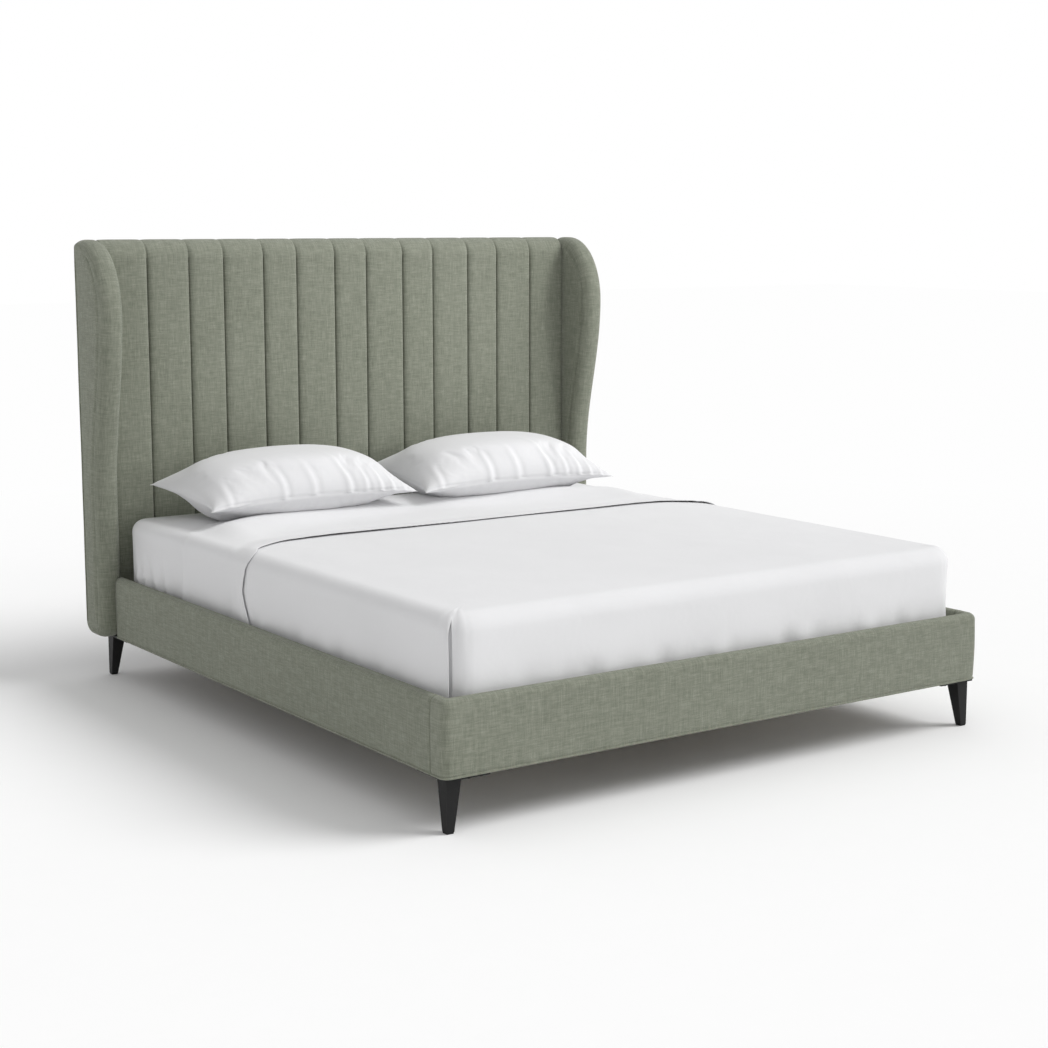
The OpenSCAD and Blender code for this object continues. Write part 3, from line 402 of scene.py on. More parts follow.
def webbing_material():
    """Grey woven tape."""
    r = Recipe("webbing")
    r.set(Roughness=0.85, Specular_IOR_Level=0.3)
    place = r.object_place()
    x, y = r.parts(place)
    ribs = r.math("SINE", r.math("MULTIPLY", y, 3900.0))
    cords = r.math("SINE", r.math("MULTIPLY", x, 2600.0))
    weave = r.math("MULTIPLY", ribs, cords)
    fuzz = r.noise(place, 700.0, detail=3.0)
    colour = r.mix(r.span(weave, -1.0, 1.0), TAPE_DARK, TAPE_LIGHT)
    normal = r.bump(r.math("ADD", weave, fuzz), 0.0003, 0.7)
    return r.done(colour, normal, r.span(fuzz, 0.3, 0.7, 0.75, 0.95))


def softwood_material(base):
    """Planed softwood with growth rings, knots' swirl and fine pores."""
    r = Recipe("softwood")
    r.set(Roughness=0.6, Specular_IOR_Level=0.4)
    place = r.object_place()
    bent = r.noise(r.scaled(place, (3.0, 3.0, 3.0)), 1.0, detail=3.0)
    rings = r.node("TexWave", wave_type="RINGS", rings_direction="SPHERICAL")
    r.fill(rings, Vector=r.scaled(place, (7.0, 7.0, 22.0)), Scale=1.2, Distortion=5.0, Detail=3.0,
           Detail_Scale=1.4)
    colour = r.mix(rings.outputs["Fac"], rgba(base, 0.78), rgba(base, 1.15))
    toned = r.mix(r.span(bent, 0.3, 0.7, 0.0, 0.4), colour, rgba(base, 0.6))
    pores = r.noise(r.scaled(place, (60.0, 60.0, 700.0)), 1.0, detail=4.0)
    grained = r.mix(r.span(pores, 0.52, 0.7, 0.0, 0.35), toned, rgba(base, 0.45))
    normal = r.bump(r.math("ADD", pores, rings.outputs["Fac"]), 0.0003, 0.5)
    return r.done(grained, normal, r.span(pores, 0.3, 0.7, 0.5, 0.75))


def plywood_material(base):
    """Rotary-cut birch veneer with long cathedral grain and thin plies along its edges."""
    r = Recipe("plywood")
    r.set(Roughness=0.55, Specular_IOR_Level=0.4)
    place = r.object_place()
    swirl = r.noise(r.scaled(place, (2.2, 9.0, 2.2)), 1.0, detail=6.0, roughness=0.55, distortion=1.2)
    fibre = r.noise(r.scaled(place, (30.0, 420.0, 420.0)), 1.0, detail=4.0)
    colour = r.mix(r.span(swirl, 0.35, 0.65), rgba(base, 0.82), rgba(base, 1.12))
    grained = r.mix(r.span(fibre, 0.5, 0.72, 0.0, 0.4), colour, rgba(base, 0.55))
    normal = r.bump(fibre, 0.0002, 0.5)
    return r.done(grained, normal, r.span(fibre, 0.3, 0.7, 0.45, 0.7))


def steel_material():
    """Zinc-plated steel with faint spangle and rubbed spots."""
    r = Recipe("steel")
    r.set(Metallic=1.0, Roughness=0.38)
    place = r.object_place()
    rubbed = r.noise(place, 45.0, detail=4.0)
    tint = r.math("ADD", r.math("MULTIPLY", r.cells(place, 160.0), 0.5), rubbed)
    colour = r.mix(r.span(tint, 0.3, 1.0), ZINC_DARK, ZINC_LIGHT)
    normal = r.bump(rubbed, 0.0002, 0.3)
    return r.done(colour, normal, r.span(rubbed, 0.3, 0.7, 0.28, 0.5))


def black_paint_material(name, base, grain, gloss):
    """Black powder coat with an orange-peel skin, fine dust and lighter rubbed edges."""
    r = Recipe(name)
    r.set(Roughness=gloss, Specular_IOR_Level=0.14)
    place = r.object_place()
    peel = r.noise(place, grain, detail=2.0)
    dust = r.noise(place, 30.0, detail=6.0, roughness=0.65)
    edges = r.span(r.node("NewGeometry").outputs["Pointiness"], 0.52, 0.62, 0.0, 0.5)
    toned = r.mix(r.span(dust, 0.45, 0.75, 0.0, 0.35), rgba(base), rgba(base, 2.2))
    colour = r.mix(edges, toned, RUBBED_PAINT)
    normal = r.bump(peel, 0.0002, 0.45)
    return r.done(colour, normal, r.span(dust, 0.3, 0.7, gloss - 0.06, gloss + 0.12))


def ticking_material():
    """Off-white knitted mattress ticking, quilted in low diamonds."""
    r = Recipe("mattress_ticking")
    r.set(Roughness=0.9, Sheen_Weight=0.2)
    place = r.object_place()
    x, y = r.parts(place)
    one = r.math("SINE", r.math("MULTIPLY", r.math("ADD", x, y), 38.0))
    two = r.math("SINE", r.math("MULTIPLY", r.math("SUBTRACT", x, y), 38.0))
    quilt = r.math("POWER", r.math("ABSOLUTE", r.math("MULTIPLY", one, two)), 0.35)
    knit = r.noise(place, 900.0, detail=2.0)
    colour = r.mix(r.span(knit, 0.3, 0.7), TICKING_DARK, TICKING_LIGHT)
    normal = r.bump(knit, 0.0003, 0.5, below=r.bump(quilt, 0.004, 0.6))
    return r.done(colour, normal, r.span(knit, 0.3, 0.7, 0.82, 0.95))


# Mesh building


class Pattern:
    """Points, faces and cloth coordinates of one piece while it is laid out."""

    def __init__(self):
        self.points = []
        self.faces = []
        self.cloth = []

    def ring(self, points):
        first = len(self.points)
        self.points.extend(Vector(p) for p in points)
        return list(range(first, len(self.points)))

    def face(self, indices, cloth):
        self.faces.append(tuple(indices))
        self.cloth.extend(cloth)

    def band(self, a, b, across, v_a, v_b, closed=True):
        """Quads between two rings. across holds the cloth coordinate of each point, and one more."""
        count = len(a)
        for i in range(count if closed else count - 1):
            j = (i + 1) % count
            self.face((a[i], a[j], b[j], b[i]),
                      ((across[i], v_a), (across[i + 1], v_a), (across[i + 1], v_b), (across[i], v_b)))

    def cap(self, ring, axes):
        """One face over a ring, with two of the space axes as its cloth coordinates."""
        self.face(ring, [(self.points[i][axes[0]], self.points[i][axes[1]]) for i in ring])

    def loft(self, rings, closed=True, caps=None):
        """Bands through rings of points, and caps on both ends where caps gives their axes."""
        made = [self.ring(points) for points in rings]
        middle = rings[len(rings) // 2]
        across = run_lengths(middle, closed)
        v = 0.0
        for k in range(len(rings) - 1):
            steps = [(Vector(q) - Vector(p)).length for p, q in zip(rings[k], rings[k + 1])]
            step = sum(steps) / len(steps)
            self.band(made[k], made[k + 1], across, v, v + step, closed)
            v += step
        if caps:
            self.cap(made[0], caps)
            self.cap(made[-1], caps)
        return made

    def build(self, name, closed=True):
        mesh = bpy.data.meshes.new(name)
        mesh.from_pydata(self.points, [], self.faces)
        layer = mesh.uv_layers.new(name=CLOTH_MAP)
        for data, place in zip(layer.data, self.cloth):
            data.uv = place
        mesh.update()
        obj = add_object(name, mesh)
        if closed:
            turn_outwards(obj)
        smooth(obj)
        return obj


def add_object(name, data):
    """A new object in the scene."""
    obj = bpy.data.objects.new(name, data)
    bpy.context.scene.collection.objects.link(obj)
    return obj


def run_lengths(points, closed):
    """How far each point lies along a line of points, with the closing step as one more."""
    lengths = [0.0]
    steps = list(zip(points, points[1:])) + ([(points[-1], points[0])] if closed else [])
    for p, q in steps:
        lengths.append(lengths[-1] + (Vector(q) - Vector(p)).length)
    return lengths


def turn_outwards(obj):
    """Turns the faces of a closed mesh outwards."""
    work = bmesh.new()
    work.from_mesh(obj.data)
    bmesh.ops.recalc_face_normals(work, faces=work.faces)
    work.to_mesh(obj.data)
    work.free()


def smooth(obj, angle=math.radians(60)):
    """Smooth shading with sharp edges where faces meet at more than an angle."""
    work = bmesh.new()
    work.from_mesh(obj.data)
    for face in work.faces:
        face.smooth = True
    for edge in work.edges:
        if len(edge.link_faces) == 2 and edge.calc_face_angle(0.0) > angle:
            edge.smooth = False
    work.to_mesh(obj.data)
    work.free()


def finish_piece(obj, material, body, replaced):
    """Gives a piece its material, slot and body, and hides the CAD nodes it stands for."""
    obj.data.materials.clear()
    obj.data.materials.append(material)
    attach(obj, body)
    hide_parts(*replaced)
    return obj


def lofted_piece(name, rings, caps, material, body, replaced):
    """A closed piece through rings of points, with its material, slot, body and CAD nodes."""
    pattern = Pattern()
    pattern.loft(rings, caps=caps)
    return finish_piece(pattern.build(name), material, body, replaced)


def thicken(obj, thickness, offset):
    """Gives a skin its thickness, to both sides for offset 0 and inwards for -1."""
    modifier = obj.modifiers.new("thickness", "SOLIDIFY")
    modifier.thickness = thickness
    modifier.offset = offset
    return modifier


def smooth_faces(mesh):
    for face in mesh.polygons:
        face.use_smooth = True


def right_angle(steps):
    """Share, sine and cosine at even steps from 0 to a right angle."""
    for i in range(steps + 1):
        a = math.radians(90 * i / steps)
        yield i / steps, math.sin(a), math.cos(a)


def uneven(x, y, z):
    """A smooth random value between -1 and 1 that is the same each time."""
    return noise.noise(Vector((x, y, z)))


def ridge(distance, width):
    """1 on a line, falling to 0 on both sides of it."""
    return math.exp(-(distance / width) ** 2)


def arc(centre, radius, start, end, steps):
    """Points on an arc in a plane, without its first point. Angles are in degrees."""
    made = []
    for i in range(1, steps + 1):
        a = math.radians(start + (end - start) * i / steps)
        made.append((centre[0] + radius * math.cos(a), centre[1] + radius * math.sin(a)))
    return made


def ease(t):
    """0 to 1 with soft ends."""
    t = min(1.0, max(0.0, t))
    return t * t * (3 - 2 * t)


def between(table, x):
    """The value at x on a soft line through a table of (x, value) pairs in rising order."""
    if x <= table[0][0]:
        return table[0][1]
    for (x0, v0), (x1, v1) in zip(table, table[1:]):
        if x <= x1:
            return v0 + (v1 - v0) * ease((x - x0) / (x1 - x0))
    return table[-1][1]


# Headboard


def channel_width(i, wide):
    """Width of channel i: wide at both ends, then wide and narrow in turn."""
    narrow = 1 < i < CHANNEL_COUNT - 2 and i % 2 == 0
    return wide * NARROW_SHARE if narrow else wide


# Columns across half a channel as shares of its width, and the powers of its crown, steeper at its right
CHANNEL_SHARES = [0.0, 0.003, 0.008, 0.016, 0.028, 0.045, 0.07, 0.11, 0.17, 0.25, 0.36, 0.5]
CROWN_FLATNESS = 7
CROWN_LEFT = 0.80
CROWN_RIGHT = 0.42

# How unevenly the channels swell, and the part of the crown that a seam draws in
CHANNEL_GIVE = 0.05
CHANNEL_PUCKER = 0.06
SEAM_SHARE = 0.16

# Steps over the crest's roll, and how far the padding stays off the board's top edge in metres
CREST_STEPS = 16
BOARD_GAP = 0.001


def channel_columns():
    """Columns across the headboard as (x, crown from 0 to 1, channel number)."""
    narrow_count = (CHANNEL_COUNT - 3) // 2
    wide = 2 * WING_IN_X / (CHANNEL_COUNT - narrow_count + narrow_count * NARROW_SHARE)
    shares = CHANNEL_SHARES + [1 - s for s in reversed(CHANNEL_SHARES[:-1])]
    gap = SEAM_W / 2 + SEAM_OPEN
    columns = []
    x = -WING_IN_X
    for i in range(CHANNEL_COUNT):
        w = channel_width(i, wide)
        x0 = x + (gap if i else 0.0)
        x1 = x + w - (gap if i < CHANNEL_COUNT - 1 else 0.0)
        for s in shares:
            crown = (1 - abs(1 - 2 * s) ** CROWN_FLATNESS) ** (CROWN_LEFT if s < 0.5 else CROWN_RIGHT)
            columns.append((x0 + (x1 - x0) * s, crown, i))
        x += w
    return columns


def make_headboard(fabric, finish):
    """Channelled padding that rolls back over the crest, as one closed form."""
    roll_r = CLOTH_Y - PANEL_Y
    straight_top = HEAD_TOP - roll_r
    rows = finish.channel_rows
    rings = []
    for x, crown, channel in channel_columns():
        ring = []
        for k in range(rows + 1):
            z = PANEL_BOTTOM + (straight_top - PANEL_BOTTOM) * k / rows
            give = CHANNEL_GIVE * uneven(channel * 3.7, z * 5.0, 1.5)
            pucker = CHANNEL_PUCKER * uneven(x * 30.0, z * 42.0, 7.0) * (1 - crown * 0.6)
            c = CHANNEL_CROWN * crown * (1 + give + pucker - 0.02) - SEAM_DEEP * ridge(crown, SEAM_SHARE)
            ring.append((x, PANEL_Y + CHANNEL_CROWN - c, z))
        for share, sine, cosine in list(right_angle(CREST_STEPS))[1:]:
            r = roll_r - CHANNEL_CROWN * (1 - crown) * (1 - 0.8 * ease(share * 90 / 70))
            ring.append((x, CLOTH_Y - r * cosine, straight_top + r * sine))
        rest_z = BOARD_TOP + BOARD_GAP
        ring += [(x, CLOTH_Y, rest_z), (x, BOARD_Y, rest_z), (x, BOARD_Y, PANEL_BOTTOM)]
        rings.append(ring)
    obj = lofted_piece("headboard_padding", rings, (1, 2), fabric, FRAME_BODY,
                       ["headboard_cover"])


# Wings


# Share of an arc's radius that a wing's rings may reach in from it
TIGHT = 0.85

# Depth where a wing's seam starts, and the reach below which it fades out, in metres
SEAM_START = 0.031
SEAM_END = 0.038

# Depth from the edge and height of a wing's surface over its flat face, in metres
WING_SECTION = [(0.0, -0.034), (0.0006, -0.0277), (0.0026, -0.021), (0.0058, -0.0151), (0.01, -0.01),
                (0.0151, -0.0058), (0.021, -0.0027), (0.0262, -0.0011), (0.0305, -0.0004)]
WING_SEAM = [(0.0325, -0.0014), (0.0352, -0.0050), (0.0368, -0.0058), (0.0384, -0.0050), (0.042, -0.0022)]
WING_FACE = [(0.048, 0.0002), (0.054, 0.0012)]

# Steps of a wing's outline: foot, straight front, hollow front, top arc, back corner, back and heel
FOOT_STEPS = 12
FRONT_STEPS = 10
HOLLOW_STEPS = 26
TOP_STEPS = 24
CORNER_STEPS = 6
BACK_STEPS = 20
HEEL_STEPS = 8

# Pull of the two guides of the hollow front, as a share of its height
HOLLOW_PULL = 0.36

# How soft the wing's edge is: all round its front, at the back's top corner, and down the back
SOFT = 1.0
SOFT_CORNER = 0.8
SOFT_BACK = 0.15
SOFT_UNDER = 0.5

# A reach that holds nothing back, and what the top arc's reach loses towards the back, in metres
FREE_REACH = 1.0
TOP_REACH = 0.07
WING_GIVE = 0.0009


def wing_outline():
    """Outline of a wing from the side as (y, z, softness, reach inwards), from its foot round."""
    front = PANEL_Y - WING_REACH_LOW
    foot_z = RAIL_Z + WING_FOOT_R
    points = []
    for t, sine, cosine in right_angle(FOOT_STEPS):
        points.append((front + WING_FOOT_R * (1 - sine), RAIL_Z + WING_FOOT_R * (1 - cosine),
                       min(SOFT, SOFT_UNDER + t), TIGHT * WING_FOOT_R))
    for i in range(1, FRONT_STEPS + 1):
        points.append((front, foot_z + (WING_WAIST_Z - foot_z) * i / FRONT_STEPS, SOFT, FREE_REACH))
    pull = HOLLOW_PULL * (WING_BULGE_Z - WING_WAIST_Z)
    guides = [(front, WING_WAIST_Z), (front, WING_WAIST_Z + pull), (WING_HIGH_Y, WING_BULGE_Z - pull),
              (WING_HIGH_Y, WING_BULGE_Z)]
    for i in range(1, HOLLOW_STEPS + 1):
        t = i / HOLLOW_STEPS
        shares = ((1 - t) ** 3, 3 * (1 - t) ** 2 * t, 3 * (1 - t) * t * t, t ** 3)
        y, z = (sum(s * guide[axis] for s, guide in zip(shares, guides)) for axis in (0, 1))
        points.append((y, z, SOFT, FREE_REACH))
    for t, sine, cosine in list(right_angle(TOP_STEPS))[1:]:
        reach = TIGHT * WING_BACK_R + TOP_REACH * (1 - ease((TOP_STEPS * t - 13) / 11))
        points.append((WING_HIGH_Y + WING_TOP_ARC * (1 - cosine),
                       WING_BULGE_Z + (HEAD_TOP - WING_BULGE_Z) * sine, SOFT, reach))
    for t, sine, cosine in right_angle(CORNER_STEPS):
        points.append((BACK_Y - WING_BACK_R * (1 - sine), HEAD_TOP - WING_BACK_R * (1 - cosine),
                       SOFT_CORNER - 0.55 * t, TIGHT * WING_BACK_R))
    back_top = HEAD_TOP - WING_BACK_R
    back_length = back_top - RAIL_Z - WING_HEEL_R
    for i in range(1, BACK_STEPS + 1):
        points.append((BACK_Y, back_top - back_length * i / BACK_STEPS, SOFT_BACK, FREE_REACH))
    for t, sine, cosine in list(right_angle(HEEL_STEPS))[1:]:
        points.append((BACK_Y - WING_HEEL_R * (1 - cosine), RAIL_Z + WING_HEEL_R * (1 - sine),
                       SOFT_BACK + (SOFT_UNDER - SOFT_BACK) * t, TIGHT * WING_HEEL_R))
    heel = BACK_Y - WING_HEEL_R
    for i in (1, 2):
        points.append((heel - (heel - points[0][0]) * i / 3, RAIL_Z, SOFT_UNDER, FREE_REACH))
    return points


def outline_normals(outline):
    """Inward directions at the points of an outline in (y, z)."""
    made = []
    for before, after in zip(outline[-1:] + outline, outline[1:] + outline[:1]):
        along = Vector((after[0] - before[0], after[1] - before[1])).normalized()
        made.append(Vector((along.y, -along.x)))
    return made


def make_wing(side, fabric):
    """A padded wing: inner and outer face panels sewn to a soft rolled band round the edge."""
    outline = wing_outline()
    inward = outline_normals(outline)
    mid = (WING_IN_X + WING_OUT_X) / 2
    half = (WING_OUT_X - WING_IN_X) / 2

    def ring(depth, height, face):
        made = []
        for (y, z, soft, reach), n in zip(outline, inward):
            d = depth * soft if depth <= WING_EDGE_R else WING_EDGE_R * soft + (depth - WING_EDGE_R)
            d = min(d, reach)
            give = WING_GIVE * uneven(y * 9.0, z * 7.0, 3.0 * face + side) if depth > 0.02 else 0.0
            fade = ease((reach - SEAM_END) / SEAM_END) if depth > SEAM_START else 1.0
            x = mid + face * (half + height * fade + give)
            made.append((side * x, y + n.x * d, z + n.y * d))
        return made

    profile = WING_SECTION + WING_SEAM + WING_FACE
    rings = [ring(d, h, -1) for d, h in reversed(profile)] + [ring(d, h, 1) for d, h in profile]
    name = SIDE_NAMES[side]
    obj = lofted_piece("wing_upholstery_" + name, rings, (1, 2), fabric, FRAME_BODY,
                       ["wing_cover_" + name])


def make_wing_core(side, plywood):
    """The plywood core inside a wing, with its heel rounded as the padding's is."""
    outline = wing_outline()
    inward = outline_normals(outline)
    rings = []
    for x in (low("wing_core_right").x, high("wing_core_right").x):
        ring = []
        for (y, z, soft, reach), n in zip(outline, inward):
            d = min(WING_CORE_IN * soft, reach / 2)
            ring.append((side * x, y + n.x * d, z + n.y * d))
        rings.append(ring)
    name = SIDE_NAMES[side]
    lofted_piece("wing_board_" + name, rings, (1, 2), plywood, FRAME_BODY,
                 ["wing_core_" + name])


# Rails


# The outer face of a rail from its hem up, with the welt, as (distance in, height over the hem) in metres
RAIL_HEM = [(0.018, 0.0), (0.006, 0.0), (0.002, -0.0002), (-0.0004, 0.0004), (-0.0016, 0.0016),
            (-0.0020, 0.0030), (-0.0016, 0.0044), (-0.0004, 0.0056), (0.0014, 0.0064), (0.0013, 0.0076),
            (0.0004, 0.0100), (-0.0002, 0.016)]
RAIL_SWELL = 0.0012
RAIL_FLAT = 0.0004
RAIL_GIVE = 0.0006
RAIL_STEPS = 70
FOOT_RAIL_STEPS = 34
RAIL_CORNER_STEPS = 12

# Sewn ends of the rails' covers as (distance from the seam, how far the section is drawn in), in metres
SIDE_RAIL_END = [(0.0, 0.0040), (0.0008, 0.0018), (0.0022, 0.0004), (0.005, -0.0004), (0.02, 0.0)]
SIDE_RAIL_HEAD = [(0.02, 0.0), (0.0025, 0.0), (0.0, 0.0015)]
FOOT_RAIL_END = [(0.0, 0.0040), (0.0008, 0.0018), (0.0022, 0.0004), (0.005, -0.0006), (0.012, 0.0),
                 (0.026, 0.0)]

# How far the foot rail's inner face stays off the side rails' ends, in metres
RAIL_CLEAR = 0.0015


def rail_section():
    """Section of a padded rail as (distance in from the outer face, z), with a welt along its hem."""
    top = RAIL_TOP - RAIL_TOP_R
    soft_top = RAIL_TOP - RAIL_SOFT_R
    points = [(x, RAIL_Z + z) for x, z in RAIL_HEM]
    face_low = points[-1][1]
    for k in range(1, 8):
        t = k / 8
        swell = RAIL_SWELL * math.sin(math.pi * t) + 0.0002
        points.append((-swell, face_low + (soft_top - face_low) * t))
    points.append((0.0, soft_top))
    points += arc((RAIL_SOFT_R, soft_top), RAIL_SOFT_R, 180, 90, 10)
    points.append(((RAIL_SOFT_R + RAIL_T - RAIL_TOP_R) / 2, RAIL_TOP + RAIL_FLAT))
    points += arc((RAIL_T - RAIL_TOP_R, top), RAIL_TOP_R, 90, 0, 8)
    for k in range(1, 5):
        points.append((RAIL_T + RAIL_FLAT, top - (top - RAIL_Z - 0.004) * k / 4))
    points.append((RAIL_T - 0.003, RAIL_Z + RAIL_FLAT))
    return points


def drawn_section(section, amount):
    """The section drawn in towards its middle by an amount on every side."""
    mid_x = RAIL_T / 2
    mid_z = (RAIL_Z + RAIL_TOP) / 2
    share_x = 1 - amount / mid_x
    share_z = 1 - amount / ((RAIL_TOP - RAIL_Z) / 2)
    return [(mid_x + (x - mid_x) * share_x, mid_z + (z - mid_z) * share_z) for x, z in section]


def make_side_rail(side, fabric):
    """Padding of a side rail, with a sewn end at its seam with the foot rail's cover."""
    name = SIDE_NAMES[side]
    y0 = low("side_rail_cover_" + name).y
    y1 = high("side_rail_cover_" + name).y
    sewn = SIDE_RAIL_END[-1][0]
    section = rail_section()
    stations = [(y0 + away, amount) for away, amount in SIDE_RAIL_END]
    stations += [(y0 + sewn + (y1 - y0 - 2 * sewn) * k / RAIL_STEPS, 0.0) for k in range(1, RAIL_STEPS)]
    stations += [(y1 - away, amount) for away, amount in SIDE_RAIL_HEAD]
    rings = []
    for y, amount in stations:
        ring = []
        for x, z in drawn_section(section, amount):
            give = RAIL_GIVE * uneven(x * 20.0, y * 6.0, z * 12.0 + side)
            ring.append((side * (RAIL_OUT_X - x + give), y, z))
        rings.append(ring)
    obj = lofted_piece("side_rail_upholstery_" + name, rings, (0, 2), fabric, FRAME_BODY,
                       ["side_rail_cover_" + name])


def foot_path():
    """Stations along the foot rail's cover as (outer point, inner point, draw-in) in plan."""
    wrap_y = FOOT_Y + CORNER_WRAP
    inner_y = FOOT_Y + RAIL_T
    r = RAIL_CORNER_R
    half = []
    for back, amount in FOOT_RAIL_END:
        y = wrap_y - back
        half.append(((RAIL_OUT_X, y), (RAIL_IN_X, max(y, inner_y + RAIL_CLEAR)), amount))
    for t, sine, cosine in right_angle(RAIL_CORNER_STEPS):
        outer = (RAIL_OUT_X - r + r * cosine, FOOT_Y + r - r * sine)
        inner = (RAIL_IN_X - RAIL_CLEAR * ease(t), inner_y + RAIL_CLEAR * (1 - ease(t)))
        half.append((outer, inner, 0.0))
    for k in range(1, FOOT_RAIL_STEPS + 1):
        x = (RAIL_OUT_X - r) * (1 - k / FOOT_RAIL_STEPS)
        half.append(((x, FOOT_Y), (min(x, RAIL_IN_X - 0.002 - 0.001 * k), inner_y), 0.0))
    mirrored = [((-outer[0], outer[1]), (-inner[0], inner[1]), amount)
                for outer, inner, amount in reversed(half[:-1])]
    return half + mirrored


def make_foot_rail(fabric):
    """Padding of the foot rail, wrapped round both front corners."""
    section = rail_section()
    rings = []
    for outer, inner, amount in foot_path():
        o = Vector(outer)
        n = Vector(inner)
        ring = []
        for x, z in drawn_section(section, amount):
            give = RAIL_GIVE * uneven(o.x * 6.0, o.y * 20.0, z * 12.0 + 5)
            p = o + (n - o) * ((x - give) / RAIL_T)
            ring.append((p.x, p.y, z))
        rings.append(ring)
    obj = lofted_piece("foot_rail_upholstery", rings, (0, 2), fabric, FRAME_BODY,
                       ["foot_rail_cover"])


# Linings


# Faces across and up the headboard's lining, its thickness and its sag, then the same of the slat tapes
LINING_ACROSS = 48
LINING_UP = 34
LINING_T = 0.0008
LINING_SAG = 0.0011
TAPE_STEPS = 150
TAPE_T = 0.001
TAPE_DROP = 0.0002
TAPE_SAG = 0.0006
SLAT_GAPS = 12


def make_back_cloth(material):
    """The lining over the back of the headboard, pulled flat between its staples."""
    lo = low("headboard_back_cloth")
    hi = high("headboard_back_cloth")
    rings = []
    for j in range(LINING_UP + 1):
        z = lo.z + (hi.z - lo.z) * j / LINING_UP
        ring = []
        for i in range(LINING_ACROSS + 1):
            x = lo.x + (hi.x - lo.x) * i / LINING_ACROSS
            edge = min(i, LINING_ACROSS - i, j, LINING_UP - j)
            sag = LINING_SAG * min(1.0, edge / 3) * uneven(x * 2.5, 0.0, z * 2.5)
            ring.append((x, (lo.y + hi.y) / 2 + sag, z))
        rings.append(ring)
    pattern = Pattern()
    pattern.loft(rings, closed=False)
    obj = pattern.build("headboard_lining", closed=False)
    thicken(obj, LINING_T, 0.0)
    finish_piece(obj, material, FRAME_BODY, ["headboard_back_cloth"])


def make_slat_tapes(side, material):
    """The two woven tapes under one set of slats, bulged a little between slats."""
    name = SIDE_NAMES[side]
    node = "slat_tapes_" + name
    lo = low(node)
    hi = high(node)
    for number, x0 in enumerate((lo.x, hi.x - TAPE_W)):
        x1 = x0 + TAPE_W
        rings = []
        for k in range(TAPE_STEPS + 1):
            y = lo.y + (hi.y - lo.y) * k / TAPE_STEPS
            sag = TAPE_SAG * (1 - math.cos(2 * math.pi * SLAT_GAPS * k / TAPE_STEPS)) / 2
            top = hi.z - TAPE_DROP - sag
            rings.append([(x0, y, top), (x0, y, top - TAPE_T), (x1, y, top - TAPE_T), (x1, y, top)])
        obj = lofted_piece("slat_tape_%s_%d" % (name, number + 1), rings, (0, 2), material,
                           FRAME_BODY, [node])


# Mattress and bedding


# A ring round the mattress: its corners' smallest radius and length, and the fewest steps along each part
RING_R = 0.02
RING_SIDE_STEPS = 4
RING_CORNER_STEPS = 10
RING_CORNER_LENGTH = 0.12

# Rows over the mattress's top edge, and how far in its crown has risen in full, in metres
EDGE_ROWS = 8
CROWN_REACH = 0.13


def plan_points(out, spacing):
    """Points round a rounded rectangle a distance outside the mattress, as (x, y, normal x, normal y)."""
    hx = MATTRESS_HALF_W + out
    hy = MATTRESS_HALF_L + out
    r = min(max(MATTRESS_CORNER_R + out, RING_R), hx)
    side_steps = max(RING_SIDE_STEPS, round(2 * (MATTRESS_HALF_L - MATTRESS_CORNER_R) / spacing))
    end_steps = max(RING_SIDE_STEPS, round(2 * (MATTRESS_HALF_W - MATTRESS_CORNER_R) / spacing))
    corner_steps = max(RING_CORNER_STEPS, round(RING_CORNER_LENGTH / spacing))
    centres = [(hx - r, hy - r), (r - hx, hy - r), (r - hx, r - hy), (hx - r, r - hy)]
    points = []
    for c in range(4):
        steps = end_steps if c % 2 == 0 else side_steps
        cx, cy = centres[c]
        for i in range(corner_steps + 1):
            a = math.radians(90 * (c + i / corner_steps))
            points.append((cx + r * math.cos(a), cy + r * math.sin(a), math.cos(a), math.sin(a)))
        last = points[-1]
        nx, ny = centres[(c + 1) % 4]
        a = math.radians(90 * (c + 1))
        to = (nx + r * math.cos(a), ny + r * math.sin(a))
        for i in range(1, steps):
            t = i / steps
            points.append((last[0] + (to[0] - last[0]) * t, last[1] + (to[1] - last[1]) * t,
                           math.cos(a), math.sin(a)))
    return [(x, MATTRESS_MID_Y + y, nx, ny) for x, y, nx, ny in points]


def crown_rise(inset):
    """Height of the mattress's crown at a distance in from its rounded edge."""
    return MATTRESS_CROWN * ease(inset / CROWN_REACH)


def wrap_profile(out, hem_z, side_rows, top_rows):
    """Profile of a layer over the mattress from its hem to the middle as (plan offset, z)."""
    edge_z = MATTRESS_TOP - MATTRESS_EDGE_R
    r = MATTRESS_EDGE_R + out
    profile = [(out, hem_z + (edge_z - hem_z) * k / side_rows) for k in range(side_rows)]
    for _, sine, cosine in right_angle(EDGE_ROWS):
        profile.append((r * cosine - MATTRESS_EDGE_R, edge_z + r * sine))
    deepest = MATTRESS_HALF_W - 0.001 - MATTRESS_EDGE_R
    for k in range(1, top_rows + 1):
        inset = deepest * k / top_rows
        profile.append((-MATTRESS_EDGE_R - inset, MATTRESS_TOP + out + crown_rise(inset)))
    return profile


